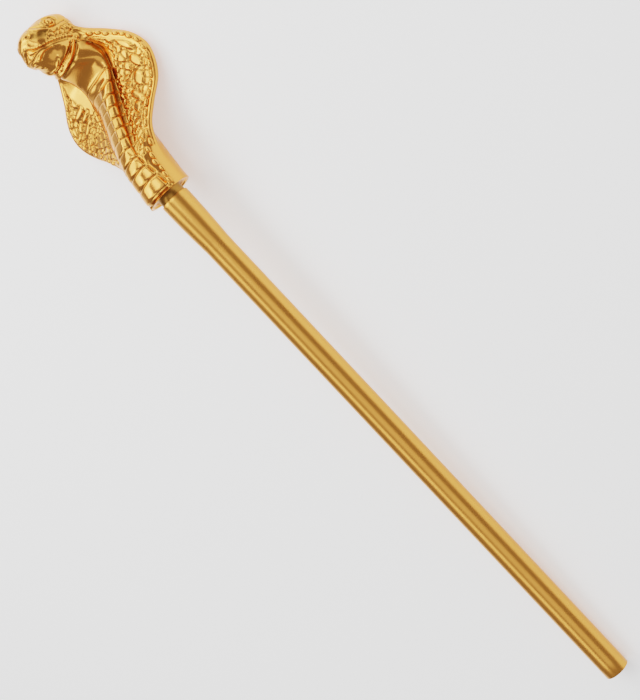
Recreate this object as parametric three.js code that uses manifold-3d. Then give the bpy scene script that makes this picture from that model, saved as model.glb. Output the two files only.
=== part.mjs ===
// A costume sceptre: a hooded cobra head moulded in one piece, on a long plastic tube.
// Lengths are millimetres. In the sceptre's own frame X runs up the shaft from the plane under
// the collar, Z is the way the cobra faces and Y is its right. The finished sceptre lies on the
// cobra's back, with the hood and the tail of the tube on the ground.

import * as THREE from 'three';
import { LoftGeometry } from 'three/addons/geometries/LoftGeometry.js';
import { mergeVertices } from 'three/addons/utils/BufferGeometryUtils.js';
import Module from 'manifold-3d';

// Tube: its top rim, its tail, its radii and the belled top that takes the spigot
const TUBE_TOP = - 6.7;
const TUBE_TAIL = - 652.7;
const TUBE_RADIUS = 14.1;
const TAIL_RADIUS = 13.6;
const RIM_RADIUS = 16.1;
const BELL_LENGTH = 62;
const BELL_STEPS = 5;
const WALL = 1.5;
const TUBE_SIDES = 40;

// Spigot and collar
const FIT_GAP = 0.35;
const SPIGOT_RADIUS = RIM_RADIUS - WALL - FIT_GAP;
const SPIGOT_LENGTH = 44;
const SPIGOT_TAPER = 0.9;
const LIP_RADIUS = 25.4;
const LIP_WIDTH = 3.2;
const LIP_HEIGHT = 4.8;
const RECESS = 1.6;

// Belly bands, which grow towards the collar and drop a little towards their ends
const BAND_COUNT = 11;
const BAND_HIGH = 10.7;
const BAND_LOW = 15.4;
const BAND_SHRINK = 0.7;
const BAND_SWELL = 1.0;
const BAND_GROOVE = 0.9;
const BAND_DROP = 3.6;
const BAND_ROWS = [ 0, 0.22, 0.78 ];

// Hood: the half thickness of its smooth rim, the row of plates inside the rim, and the scales
const RIM_HALF = 4.6;
const PLATE_NEAR = 6;
const PLATE_FAR = 11.5;
const PLATE_LENGTH = 11;
const PLATE_SWELL = 1.1;
const SCALE_PITCH = 11;
const SCALE_SWELL = 1.5;
const SCALE_GROOVE = 0.8;

// Belly's cross-section: powers of its steep side and of its gentle one, and a full flank
const FIRM = 0.72;
const SOFT_SIDE = 0.95;
const SOFT_RISE = 2.5;
const FLANK_FULL = 14;

// Steps round half a section, and rings from the top band to the snout
const BELLY_STEPS = 6;
const LOBE_STEPS = 12;
const EDGE_STEPS = 3;
const BACK_STEPS = 5;
const HEAD_RINGS = 37;

// Where the hood touches the ground, and how much of its back the flat spot takes off
const REST_PLACE = 8.4;
const FLAT_DEPTH = 1;

// One station on the way from the collar to the snout. Belly and back are the points of the
// section on the plane of symmetry, each as [forward, along]. Half is half the width there,
// edge is how far forward the widest point lies, hood goes from 0, round, to 1, spread flat,
// column is half the belly's width, and lobe is how far forward its foot lies. Flank, where
// given, is how much wider the belly is on the right, where it slopes down gently.
const STATIONS = [
	{ belly: [ 25.4, 0 ], back: [ - 25.4, 0 ], half: 25.4, edge: 0, hood: 0, column: 22.3, lobe: 8 },
	{ belly: [ 21.9, 20 ], back: [ - 27.4, 20 ], half: 24.8, edge: - 2.8, hood: 0, column: 19.3, lobe: 6 },
	{ belly: [ 18.5, 40 ], back: [ - 30.8, 40 ], half: 26, edge: - 6, hood: 0.1, column: 15.5, lobe: 2 },
	{ belly: [ 12, 60 ], back: [ - 35, 60 ], half: 35, edge: - 10.5, hood: 0.7, column: 12.5, lobe: - 4, flank: 8 },
	{ belly: [ 4.5, 75 ], back: [ - 39, 75 ], half: 49, edge: - 20, hood: 1, column: 12, lobe: - 10.5, flank: 15 },
	{ belly: [ - 4, 90 ], back: [ - 42.5, 90 ], half: 66, edge: - 31, hood: 1, column: 12, lobe: - 19, flank: 16 },
	{ belly: [ - 12.5, 106 ], back: [ - 45.8, 107 ], half: 76.5, edge: - 35.5, hood: 1, column: 14, lobe: - 27.5, flank: 15 },
	{ belly: [ - 20, 120 ], back: [ - 48, 124 ], half: 79, edge: - 37.8, hood: 1, column: 18, lobe: - 32.5, flank: 11 },
	{ belly: [ - 27, 134 ], back: [ - 49.5, 147 ], half: 71.5, edge: - 38.7, hood: 1, column: 24, lobe: - 35.5, flank: 3 },
	{ belly: [ - 25, 148 ], back: [ - 50, 168 ], half: 54, edge: - 40, hood: 1, column: 27, lobe: - 37 },
	{ belly: [ - 8.5, 161.5 ], back: [ - 49.5, 188 ], half: 35, edge: - 38, hood: 0.75, column: 23, lobe: - 32 },
	{ belly: [ 0, 170.8 ], back: [ - 47.6, 205.5 ], half: 28.2, edge: - 31, hood: 0.08, column: 19, lobe: - 12 },
	{ belly: [ 6, 178 ], back: [ - 42.5, 218 ], half: 26, edge: - 24, hood: 0, column: 17, lobe: 0 },
	{ belly: [ 10.5, 182.6 ], back: [ - 24.5, 222 ], half: 23.5, edge: - 9, hood: 0, column: 15, lobe: 5 },
	{ belly: [ 12, 188 ], back: [ - 8.5, 219.3 ], half: 19, edge: 2, hood: 0, column: 12, lobe: 8 },
	{ belly: [ 12, 194 ], back: [ 3, 216.3 ], half: 13.5, edge: 7.5, hood: 0, column: 9, lobe: 10 },
	{ belly: [ 12, 200 ], back: [ 9, 212.3 ], half: 8, edge: 11, hood: 0, column: 5, lobe: 12 },
	{ belly: [ 12.2, 204.5 ], back: [ 11.6, 208 ], half: 2, edge: 12, hood: 0, column: 1.4, lobe: 12 },
];

// The crown of the head is squarer than an ellipse, most of all behind the brow
const CROWN = { square: 0.35, place: 11.6, spread: 1.6 };

// The belly and the throat lean a little to the cobra's left near the top band
const SWAY = { reach: 6, place: 8.8, spread: 2 };

// The face in side view, as [forward, along]. Both sides are alike.
const EYE = { at: [ - 21, 210 ], radius: 4.4, swell: 2.6, socket: 1.3 };
const NOSTRIL = { at: [ 5, 209 ], radius: 2.4, depth: 1.5 };
const POUCH = { at: [ - 4, 178 ], radius: 9, swell: 1.4 };
const FOLDS = [
	{ name: 'brow', path: [ [ - 2, 215 ], [ - 20, 217.5 ], [ - 38, 215 ] ], radius: 3.5, swell: 1.4 },
	{ name: 'cheek ridge', path: [ [ - 12, 210 ], [ - 16, 204 ], [ - 31, 200 ] ], radius: 2.2, swell: 0.9 },
	{ name: 'cheek hollow', path: [ [ - 1, 201 ], [ - 14, 196 ] ], radius: 5, swell: - 1.6 },
	{ name: 'upper lip', path: [ [ - 26, 184 ], [ - 9, 188 ], [ 8, 191 ], [ 14, 199 ] ], radius: 1.8, swell: 1.4 },
	{ name: 'mouth', path: [ [ - 25, 181 ], [ - 8, 184.8 ], [ 9, 187.6 ], [ 14, 195.5 ] ], radius: 1.8, swell: - 1.6 },
	{ name: 'jaw hoop', path: [ [ - 24, 179 ], [ - 14, 166.5 ], [ - 5, 161.5 ] ], radius: 2.8, swell: 3 },
];

const mix = ( a, b, t ) => a + ( b - a ) * t;
const clamp01 = ( t ) => Math.min( 1, Math.max( 0, t ) );
const ease = ( t ) => clamp01( t ) ** 2 * ( 3 - 2 * clamp01( t ) );
const bell = ( distance, radius ) => Math.exp( - ( ( distance / radius ) ** 2 ) );

// Smooth curve through the stations' values, read at a place that may be a fraction
function along( values, place ) {

	const last = values.length - 1;
	const i = Math.min( Math.floor( place ), last - 1 );
	const t = place - i;
	const first = i > 0 ? values[ i - 1 ] : 2 * values[ 0 ] - values[ 1 ];
	const next = i + 2 <= last ? values[ i + 2 ] : 2 * values[ last ] - values[ last - 1 ];
	const leave = ( values[ i + 1 ] - first ) / 2;
	const enter = ( next - values[ i ] ) / 2;
	const rise = values[ i + 1 ] - values[ i ];
	return values[ i ] + t * ( leave + t * ( 3 * rise - 2 * leave - enter + t * ( leave + enter - 2 * rise ) ) );

}

const track = ( pick ) => STATIONS.map( pick );
const TRACKS = {
	bellyForward: track( ( s ) => s.belly[ 0 ] ),
	bellyAlong: track( ( s ) => s.belly[ 1 ] ),
	backForward: track( ( s ) => s.back[ 0 ] ),
	backAlong: track( ( s ) => s.back[ 1 ] ),
	half: track( ( s ) => s.half ),
	edge: track( ( s ) => s.edge ),
	hood: track( ( s ) => s.hood ),
	column: track( ( s ) => s.column ),
	lobe: track( ( s ) => s.lobe ),
	flank: track( ( s ) => s.flank ?? 0 ),
};

// Length of the rim from the collar up to a place
const RIM_SAMPLES = 8;
const RIM_RUNS = [ 0 ];

for ( let i = 1; i < STATIONS.length * RIM_SAMPLES; i ++ ) {

	const [ before, here ] = [ i - 1, i ].map( ( n ) => n / RIM_SAMPLES );
	const step = ( name ) => along( TRACKS[ name ], here ) - along( TRACKS[ name ], before );
	RIM_RUNS.push( RIM_RUNS[ i - 1 ] + Math.hypot( step( 'half' ), step( 'backAlong' ) ) );

}

const rimRun = ( place ) => along( RIM_RUNS, place * RIM_SAMPLES );

function stationAt( place ) {

	const s = {};
	for ( const [ name, values ] of Object.entries( TRACKS ) ) s[ name ] = along( values, place );
	s.hood = clamp01( s.hood );
	s.flank = Math.max( 0, s.flank );
	s.crown = 1 - CROWN.square * bell( place - CROWN.place, CROWN.spread );
	s.sway = SWAY.reach * bell( place - SWAY.place, SWAY.spread );
	s.place = place;
	s.rimRun = rimRun( place );
	return s;

}

// The place where the belly line reaches a height, found by halving
function placeOfBelly( height ) {

	let low = 0;
	let high = STATIONS.length - 1;
	for ( let i = 0; i < 40; i ++ ) {

		const middle = ( low + high ) / 2;
		if ( along( TRACKS.bellyAlong, middle ) < height ) low = middle;
		else high = middle;

	}
	return low;

}

// Band borders up the belly, from the lip to the throat
function bandBorders() {

	const borders = [ LIP_HEIGHT ];
	for ( let i = 0; i < BAND_COUNT; i ++ ) {

		const height = BAND_HIGH + ( BAND_LOW - BAND_HIGH ) * BAND_SHRINK ** i;
		borders.push( borders[ i ] + height );

	}
	return borders;

}

const BORDERS = bandBorders();
const TOP_PLACE = placeOfBelly( BORDERS[ BAND_COUNT ] );

// The belly's half width on one side, and how gently that side slopes, from 0 to 1
const bellyHalf = ( s, hand ) => s.column + ( hand < 0 ? s.flank : 0 );
const softness = ( s, hand ) => hand < 0 ? clamp01( s.flank / FLANK_FULL ) : 0;

// Half a section, as distance out to the side and distance forward. The four parts of a section
// are the belly, the front of the lobe, its rim and the back, each read at t from 0 to 1.
function roundPoint( s, angle ) {

	const across = Math.sin( angle );
	const ahead = Math.cos( angle );
	if ( ahead > 0 ) return [ s.half * across, s.edge + ( s.bellyForward - s.edge ) * ahead ];
	return [
		s.half * Math.abs( across ) ** s.crown,
		s.edge - ( s.edge - s.backForward ) * Math.abs( ahead ) ** s.crown,
	];

}

function bellyPoint( s, t, hand ) {

	const turn = t * Math.PI / 2;
	const soft = softness( s, hand );
	return [
		bellyHalf( s, hand ) * Math.sin( turn ) ** mix( FIRM, SOFT_SIDE, soft ),
		mix( s.lobe, s.bellyForward, Math.max( 0, Math.cos( turn ) ) ** mix( FIRM, SOFT_RISE, soft ) ),
	];

}

function rimPoint( s, t ) {

	const turn = t * Math.PI;
	return [
		s.half - RIM_HALF + RIM_HALF * Math.sin( turn ),
		s.edge + RIM_HALF * Math.cos( turn ),
	];

}

function flatPoint( s, part, t, hand ) {

	if ( part === 'belly' ) return bellyPoint( s, t, hand );
	if ( part === 'rim' ) return rimPoint( s, t );
	if ( part === 'back' ) {

		const start = rimPoint( s, 1 );
		return [ start[ 0 ] * ( 1 - t ), mix( start[ 1 ], s.backForward, ease( t ) ) ];

	}
	const start = bellyPoint( s, 1, hand );
	const end = rimPoint( s, 0 );
	return [ mix( start[ 0 ], end[ 0 ], t ), mix( start[ 1 ], end[ 1 ], t ) ];

}

function sectionAngle( s, part, t, hand ) {

	const foot = Math.asin( clamp01( bellyHalf( s, hand ) / s.half ) );
	const side = Math.PI / 2;
	const rim = 0.12;
	if ( part === 'belly' ) return foot * t;
	if ( part === 'lobe' ) return mix( foot, side - rim, t );
	if ( part === 'rim' ) return mix( side - rim, side + rim, t );
	return mix( side + rim, Math.PI, t );

}

// How far the belly leans to the left
function lean( s, part, t ) {

	if ( part === 'belly' ) return s.sway;
	return part === 'lobe' ? s.sway * ( 1 - ease( 2 * t ) ) : 0;

}

// A point of the surface on the cobra's left, or on its right where hand is -1
function surfacePoint( s, part, t, hand ) {

	const round = roundPoint( s, sectionAngle( s, part, t, hand ) );
	const flat = flatPoint( s, part, t, hand );
	const side = mix( round[ 0 ], flat[ 0 ], s.hood );
	const forward = mix( round[ 1 ], flat[ 1 ], s.hood );
	const depth = ( s.bellyForward - forward ) / ( s.bellyForward - s.backForward );
	const up = mix( s.bellyAlong, s.backAlong, depth );
	return new THREE.Vector3( up, - hand * side - lean( s, part, t ), forward );

}

function normalAt( s, part, t, hand ) {

	const step = 0.02;
	const here = stationAt( Math.min( s.place + step, STATIONS.length - 1 ) );
	const before = stationAt( Math.max( s.place - step, 0 ) );
	const onward = surfacePoint( here, part, t, hand ).sub( surfacePoint( before, part, t, hand ) );
	const round = surfacePoint( s, part, Math.min( t + step, 1 ), hand );
	round.sub( surfacePoint( s, part, Math.max( t - step, 0 ), hand ) );
	return round.cross( onward ).multiplyScalar( hand ).normalize();

}

// The place of a ring's point. Up to the top band the rings are bent along the bands on the
// belly and run straight again at the rim. Above it they straighten out towards the head.
function bentPlace( place, part, t, hand ) {

	const reach = { belly: ease( t / 0.9 ), lobe: 1 - ease( t ) }[ part ] ?? 0;
	const base = Math.min( place, TOP_PLACE );
	const height = along( TRACKS.bellyAlong, base );
	const rate = along( TRACKS.bellyAlong, base + 1 ) - height;
	const drop = BAND_DROP * ease( ( base - 0.5 ) / 5 ) * ( part === 'belly' ? t * t : 1 );
	const bend = base > 0.5 ? reach : reach * ease( base / 0.5 );
	let bent = base;
	for ( let i = 0; i < 3; i ++ ) {

		const here = surfacePoint( stationAt( bent ), part, t, hand ).x;
		bent = Math.max( 0, bent + bend * ( height - drop - here ) / Math.max( rate, 4 ) );

	}
	return place + ( bent - base ) * ( 1 - ease( ( place - TOP_PLACE ) / 2.4 ) );

}

// Relief: how far each point is raised from the plain form
function bandRelief( height, given ) {

	const t = Math.min( given, 1 );
	if ( height > BORDERS[ BAND_COUNT ] - 0.01 ) return 0;
	const i = BORDERS.findIndex( ( border ) => border > height + 0.01 );
	if ( i < 1 ) return 0;
	const within = ( height - BORDERS[ i - 1 ] ) / ( BORDERS[ i ] - BORDERS[ i - 1 ] );
	const swell = BAND_SWELL * ( 1 - Math.abs( 2 * within - 1 ) ** 4 ) - BAND_GROOVE * bell( within, 0.08 );
	return swell * ease( ( 1 - t ) / 0.15 );

}

function hash( i, j ) {

	const wave = Math.sin( i * 127.1 + j * 311.7 ) * 43758.5453;
	return wave - Math.floor( wave );

}

function scaleRelief( side, height ) {

	const x = side / SCALE_PITCH;
	const y = height / SCALE_PITCH;
	let nearest = 9;
	let second = 9;
	for ( let i = Math.floor( x ) - 1; i <= Math.floor( x ) + 1; i ++ ) {

		for ( let j = Math.floor( y ) - 1; j <= Math.floor( y ) + 1; j ++ ) {

			const away = Math.hypot( i + 0.15 + 0.7 * hash( i, j ) - x, j + 0.15 + 0.7 * hash( j + 17, i ) - y );
			second = Math.min( second, Math.max( nearest, away ) );
			nearest = Math.min( nearest, away );

		}

	}
	return mix( - SCALE_GROOVE, SCALE_SWELL, ease( ( second - nearest ) / 0.35 ) );

}

function plateRelief( inset, run ) {

	const across = Math.abs( 2 * ( inset - PLATE_NEAR ) / ( PLATE_FAR - PLATE_NEAR ) - 1 );
	const joint = Math.abs( ( run / PLATE_LENGTH ) % 1 - 0.5 ) * 2;
	return across < 1 ? PLATE_SWELL * ( 1 - across ** 4 ) * ( 1 - joint ** 6 ) : 0;

}

function lobeRelief( s, t, point, hand ) {

	const inset = s.half - Math.abs( point.y );
	if ( inset < PLATE_NEAR || s.hood < 0.2 ) return 0;
	if ( inset < PLATE_FAR ) return s.hood * plateRelief( inset, s.rimRun );
	const room = ease( ( s.half - bellyHalf( s, hand ) - 8 ) / 15 );
	const field = room * ease( t / 0.1 ) * ease( ( inset - PLATE_FAR ) / 3 );
	return field * s.hood * scaleRelief( - point.y, point.x );

}

// Distance in side view to a path of [forward, along] points
function toPath( point, path ) {

	const here = new THREE.Vector3( point.z, point.x, 0 );
	const foot = new THREE.Vector3();
	let nearest = Infinity;
	for ( let i = 0; i + 1 < path.length; i ++ ) {

		const from = new THREE.Vector3( ...path[ i ], 0 );
		const to = new THREE.Vector3( ...path[ i + 1 ], 0 );
		new THREE.Line3( from, to ).closestPointToPoint( here, true, foot );
		nearest = Math.min( nearest, foot.distanceTo( here ) );

	}
	return nearest;

}

function faceRelief( point ) {

	const reach = ( feature ) => toPath( point, [ feature.at, feature.at ] );
	const eye = reach( EYE );
	let raise = EYE.swell * bell( eye, EYE.radius ) - EYE.socket * bell( eye - EYE.radius * 1.7, EYE.radius * 0.5 );
	raise -= NOSTRIL.depth * bell( reach( NOSTRIL ), NOSTRIL.radius );
	raise += POUCH.swell * bell( reach( POUCH ), POUCH.radius );
	for ( const fold of FOLDS ) raise += fold.swell * bell( toPath( point, fold.path ), fold.radius );
	return raise;

}

function reliefAt( s, part, t, hand, point, height ) {

	let raise = 0;
	if ( part === 'belly' ) {

		raise += bandRelief( height, t * mix( 1, 1.5, softness( s, hand ) ) );
		if ( hand > 0 && height < BORDERS[ BAND_COUNT ] ) raise -= BAND_GROOVE * bell( 1 - t, 0.1 );

	}
	if ( part === 'lobe' ) raise += lobeRelief( s, t, point, hand );
	if ( s.place > TOP_PLACE + 1 && part !== 'rim' ) raise += faceRelief( point ) * ease( ( s.place - TOP_PLACE - 1 ) / 0.8 );
	return raise;

}

// Rings of the head, one after another from the collar's lip to the snout
const steps = ( part, count ) => Array.from( { length: count }, ( _, i ) => [ part, i / count ] );
const ROUTE = [
	...steps( 'belly', BELLY_STEPS ),
	...steps( 'lobe', LOBE_STEPS ),
	...steps( 'rim', EDGE_STEPS ),
	...steps( 'back', BACK_STEPS ),
	[ 'back', 1 ],
];

// Both halves of a ring, from the middle of the belly round the left, the back and the right
function wholeRing( halfPoint ) {

	const left = ROUTE.map( ( [ part, t ] ) => halfPoint( part, t, 1 ) );
	const right = ROUTE.slice( 1, - 1 ).map( ( [ part, t ] ) => halfPoint( part, t, - 1 ) );
	return [ ...left, ...right.reverse() ];

}

function ringAt( place ) {

	const height = along( TRACKS.bellyAlong, place );
	return wholeRing( ( part, t, hand ) => {

		const s = stationAt( bentPlace( place, part, t, hand ) );
		const point = surfacePoint( s, part, t, hand );
		return point.addScaledVector( normalAt( s, part, t, hand ), reliefAt( s, part, t, hand, point, height ) );

	} );

}

function turnedRing( radius, x ) {

	return wholeRing( ( part, t, hand ) => {

		const p = surfacePoint( stationAt( 0 ), part, t, hand );
		const turn = Math.atan2( p.y, p.z );
		return new THREE.Vector3( x, radius * Math.sin( turn ), radius * Math.cos( turn ) );

	} );

}

function ringPlaces() {

	const places = [ 0, placeOfBelly( LIP_HEIGHT * 0.45 ), placeOfBelly( LIP_HEIGHT * 0.8 ) ];
	for ( let i = 0; i < BAND_COUNT; i ++ ) {

		for ( const row of BAND_ROWS ) places.push( placeOfBelly( mix( BORDERS[ i ], BORDERS[ i + 1 ], row ) ) );

	}
	const last = STATIONS.length - 1;
	for ( let i = 0; i < HEAD_RINGS; i ++ ) places.push( mix( TOP_PLACE, last, i / ( HEAD_RINGS - 1 ) ) );
	return places;

}

function headRings() {

	return [
		turnedRing( SPIGOT_RADIUS - SPIGOT_TAPER, - SPIGOT_LENGTH ),
		turnedRing( SPIGOT_RADIUS, TUBE_TOP ),
		turnedRing( SPIGOT_RADIUS, RECESS ),
		turnedRing( LIP_RADIUS - LIP_WIDTH, RECESS ),
		turnedRing( LIP_RADIUS - LIP_WIDTH, 0 ),
		...ringPlaces().map( ringAt ),
	];

}

// Solids
function closedGeometry( geometry ) {

	const bare = new THREE.BufferGeometry();
	bare.setAttribute( 'position', geometry.getAttribute( 'position' ) );
	bare.setIndex( geometry.getIndex() );
	return mergeVertices( bare, 1e-4 );

}

const wasm = await Module();
wasm.setup();

function solidOf( geometry ) {

	const closed = closedGeometry( geometry );
	return new wasm.Manifold( new wasm.Mesh( {
		numProp: 3,
		vertProperties: new Float32Array( closed.getAttribute( 'position' ).array ),
		triVerts: new Uint32Array( closed.getIndex().array ),
	} ) );

}

function geometryOf( solid ) {

	const mesh = solid.getMesh();
	const geometry = new THREE.BufferGeometry();
	geometry.setAttribute( 'position', new THREE.Float32BufferAttribute( mesh.vertProperties, 3 ) );
	geometry.setIndex( new THREE.Uint32BufferAttribute( mesh.triVerts, 1 ) );
	return geometry;

}

// The ground, as a line under the tail and the back of the hood
const REST = stationAt( REST_PLACE );
const GROUND_HOOD = [ REST.backAlong, REST.backForward + FLAT_DEPTH ];
const GROUND_TAIL = [ TUBE_TAIL, - TAIL_RADIUS ];
const TILT = Math.atan2( GROUND_TAIL[ 1 ] - GROUND_HOOD[ 1 ], GROUND_HOOD[ 0 ] - GROUND_TAIL[ 0 ] );

function headGeometry() {

	const loft = new LoftGeometry( headRings(), { closed: true, capStart: true, capEnd: true } );
	const size = 400;
	const ground = new THREE.BoxGeometry( size, size, size );
	ground.translate( 0, 0, - size / 2 );
	ground.rotateY( TILT );
	ground.translate( GROUND_HOOD[ 0 ], 0, GROUND_HOOD[ 1 ] );
	return geometryOf( solidOf( loft ).subtract( solidOf( ground ) ) );

}

function shaftGeometry() {

	const outside = [];
	for ( let i = 0; i <= BELL_STEPS; i ++ ) {

		const t = i / BELL_STEPS;
		outside.push( [ TUBE_TOP - BELL_LENGTH * t, mix( RIM_RADIUS, TUBE_RADIUS, t * t ) ] );

	}
	outside.push( [ TUBE_TAIL, TAIL_RADIUS ] );
	const inside = outside.map( ( [ x, radius ] ) => [ x, radius - WALL ] ).reverse();
	const profile = [ ...outside, ...inside, outside[ 0 ] ].map( ( [ x, radius ] ) => new THREE.Vector2( radius, x ) );
	const lathe = new THREE.LatheGeometry( profile.reverse(), TUBE_SIDES, Math.PI / 2 );
	lathe.rotateZ( - Math.PI / 2 );
	return closedGeometry( lathe );

}

const gold = new THREE.MeshStandardMaterial( { color: 0xcc9c48, roughness: 0.28, metalness: 0.9 } );
const satinGold = new THREE.MeshStandardMaterial( { color: 0xc8984a, roughness: 0.38, metalness: 0.85 } );

function piece( name, geometry, material ) {

	const mesh = new THREE.Mesh( geometry, material );
	mesh.name = name;
	return mesh;

}

// The sceptre laid down: the ground line is level and the middle of its length is the origin
const laid = new THREE.Group();
laid.add( piece( 'cobra_head', headGeometry(), gold ) );
laid.add( piece( 'shaft', shaftGeometry(), satinGold ) );
laid.rotation.y = - TILT;

const sceptre = new THREE.Group();
sceptre.add( laid );
sceptre.updateMatrixWorld( true );
const box = new THREE.Box3().setFromObject( sceptre, true );
laid.position.set( - ( box.min.x + box.max.x ) / 2, 0, - box.min.z );

export default sceptre;
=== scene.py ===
"""The cobra sceptre in its finished look: fine carving, gold finishes, floor, light and camera.

Shapes are worked out in millimetres in the sceptre's own frame: x runs up the tube towards the
cobra, z is the way the cobra faces and y is its right. Laying turns them into metres on the floor.
"""

import logging
import math
from dataclasses import dataclass, field
from enum import Enum

import bpy
import numpy as np
from mathutils import Matrix, Vector

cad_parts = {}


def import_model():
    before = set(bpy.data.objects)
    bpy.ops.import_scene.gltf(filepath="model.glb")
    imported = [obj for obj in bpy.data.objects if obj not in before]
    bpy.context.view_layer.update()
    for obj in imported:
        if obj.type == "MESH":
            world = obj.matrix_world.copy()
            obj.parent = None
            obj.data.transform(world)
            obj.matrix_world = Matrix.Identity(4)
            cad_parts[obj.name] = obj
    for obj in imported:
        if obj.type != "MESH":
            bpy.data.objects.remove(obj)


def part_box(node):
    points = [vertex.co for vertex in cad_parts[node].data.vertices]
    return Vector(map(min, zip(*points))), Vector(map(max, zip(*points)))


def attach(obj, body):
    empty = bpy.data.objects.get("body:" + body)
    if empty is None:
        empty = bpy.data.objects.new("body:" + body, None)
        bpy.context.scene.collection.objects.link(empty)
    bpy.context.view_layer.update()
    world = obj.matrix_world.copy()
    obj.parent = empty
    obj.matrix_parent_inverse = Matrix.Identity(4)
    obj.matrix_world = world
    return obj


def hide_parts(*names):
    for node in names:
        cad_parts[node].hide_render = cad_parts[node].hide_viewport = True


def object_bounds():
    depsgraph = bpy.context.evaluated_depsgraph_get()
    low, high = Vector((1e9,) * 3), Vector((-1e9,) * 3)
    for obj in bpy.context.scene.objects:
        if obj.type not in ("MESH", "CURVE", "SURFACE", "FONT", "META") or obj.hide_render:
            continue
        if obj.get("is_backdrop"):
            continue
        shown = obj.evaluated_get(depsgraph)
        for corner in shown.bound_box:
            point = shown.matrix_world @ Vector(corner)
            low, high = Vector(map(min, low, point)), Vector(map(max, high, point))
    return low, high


Array = np.ndarray
Value = Array | float
Point3 = tuple[float, float, float]
Path3 = tuple[Point3, ...]
log = logging.getLogger("sceptre")

MM = 0.001
QUARTER = math.pi / 2


def mix(a: Value, b: Value, t: Value) -> Value:
    """Returns the value t of the way from a to b."""
    return a + (b - a) * t


def ease(t: Value) -> Value:
    """Returns a smooth step of t, 0 below 0 and 1 above 1."""
    held = np.clip(t, 0.0, 1.0)
    return held * held * (3.0 - 2.0 * held)


def bell(distance: Value, radius: Value) -> Value:
    """Returns a bell curve, 1 at no distance and small past the radius."""
    return np.exp(-((distance / radius) ** 2))


def along(values: Array, place: Array) -> Array:
    """Reads a smooth curve through a row of values.

    Args:
        values: One value for each station.
        place: Stations counted from 0, with fractions between them.

    Returns:
        The curve's values at those places.
    """
    last = len(values) - 1
    i = np.clip(np.floor(place).astype(int), 0, last - 1)
    t = place - i
    first_beyond = 2 * values[0] - values[1]
    last_beyond = 2 * values[last] - values[last - 1]
    padded = np.concatenate(([first_beyond], values, [last_beyond]))
    before, here, after, beyond = (padded[i + k] for k in range(4))
    leave = (after - before) / 2
    enter = (beyond - here) / 2
    rise = after - here
    return here + t * (leave + t * (3 * rise - 2 * leave - enter + t * (leave + enter - 2 * rise)))


class Strip(Enum):
    """The strips of half a section, from the middle of the belly round to the middle of the back."""

    BELLY = 0
    LOBE = 1
    RIM = 2
    BACK = 3


class Hand(Enum):
    """The cobra's sides."""

    LEFT = 1
    RIGHT = -1


@dataclass(frozen=True)
class Station:
    """One section on the way from the collar to the snout, in millimetres.

    Belly and back are its points in the middle, each as (ahead, up). Half is half its width, edge
    is how far ahead the widest point lies, hood goes from 0, round, to 1, spread flat, column is
    half the belly's width, lobe is how far ahead the belly's foot lies, and flank is how much
    wider the belly is on the right, where it slopes down gently.
    """

    belly: tuple[float, float]
    back: tuple[float, float]
    half: float
    edge: float
    hood: float
    column: float
    lobe: float
    flank: float = 0.0


STATIONS = (
    Station((25.4, 0), (-25.4, 0), 25.4, 0, 0, 22.3, 8),
    Station((21.9, 20), (-27.4, 20), 24.8, -2.8, 0, 19.3, 6),
    Station((18.5, 40), (-30.8, 40), 26, -6, 0.1, 15.5, 2),
    Station((12, 60), (-35, 60), 35, -10.5, 0.7, 12.5, -4, 8),
    Station((4.5, 75), (-39, 75), 49, -20, 1, 12, -10.5, 15),
    Station((-4, 90), (-42.5, 90), 66, -31, 1, 12, -19, 16),
    Station((-12.5, 106), (-45.8, 107), 76.5, -35.5, 1, 14, -27.5, 15),
    Station((-20, 120), (-48, 124), 79, -37.8, 1, 18, -32.5, 11),
    Station((-27, 134), (-49.5, 147), 71.5, -38.7, 1, 24, -35.5, 3),
    Station((-25, 148), (-50, 168), 54, -40, 1, 27, -37),
    Station((-8.5, 161.5), (-49.5, 188), 35, -38, 0.75, 23, -32),
    Station((0, 170.8), (-47.6, 205.5), 28.2, -31, 0.08, 19, -12),
    Station((6, 178), (-42.5, 218), 26, -24, 0, 17, 0),
    Station((10.5, 182.6), (-24.5, 222), 23.5, -9, 0, 15, 5),
    Station((12, 188), (-8.5, 219.3), 19, 2, 0, 12, 8),
    Station((12, 194), (3, 216.3), 13.5, 7.5, 0, 9, 10),
    Station((12, 200), (9, 212.3), 8, 11, 0, 5, 12),
    Station((12.2, 204.5), (11.6, 208), 2, 12, 0, 1.4, 12),
)


@dataclass(frozen=True)
class Sections:
    """The values of many sections, each a column with one row for each section."""

    place: Array
    belly_ahead: Array
    belly_up: Array
    back_ahead: Array
    back_up: Array
    half: Array
    edge: Array
    hood: Array
    column: Array
    lobe: Array
    flank: Array
    crown: Array
    sway: Array
    rim_run: Array


@dataclass
class Net:
    """The fine net over the cobra, one row for each section and one column for each rib along it.

    Row_height is the belly line's height at each row, hand tells the sides apart, strip and t say
    which strip a knot lies on and how far across it, side is its distance from the middle, and
    gentle is how gently the belly's flank slopes, 0 for a steep wall and 1 for the widest flank.
    """

    s: Sections
    row_height: Array
    hand: Array
    strip: Array
    t: Array
    side: Array
    gentle: Array
    point: Array
    normal: Array = None
    relief: Array = None

    @property
    def up(self) -> Array:
        """Height along the sceptre."""
        return self.point[..., 0]

    @property
    def left(self) -> Array:
        """Distance towards the cobra's left."""
        return -self.point[..., 1]

    @property
    def ahead(self) -> Array:
        """Distance the way the cobra faces."""
        return self.point[..., 2]

    def on(self, strip: Strip) -> Array:
        """Returns 1 where a knot lies on a strip."""
        return self.strip == strip.value


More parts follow.
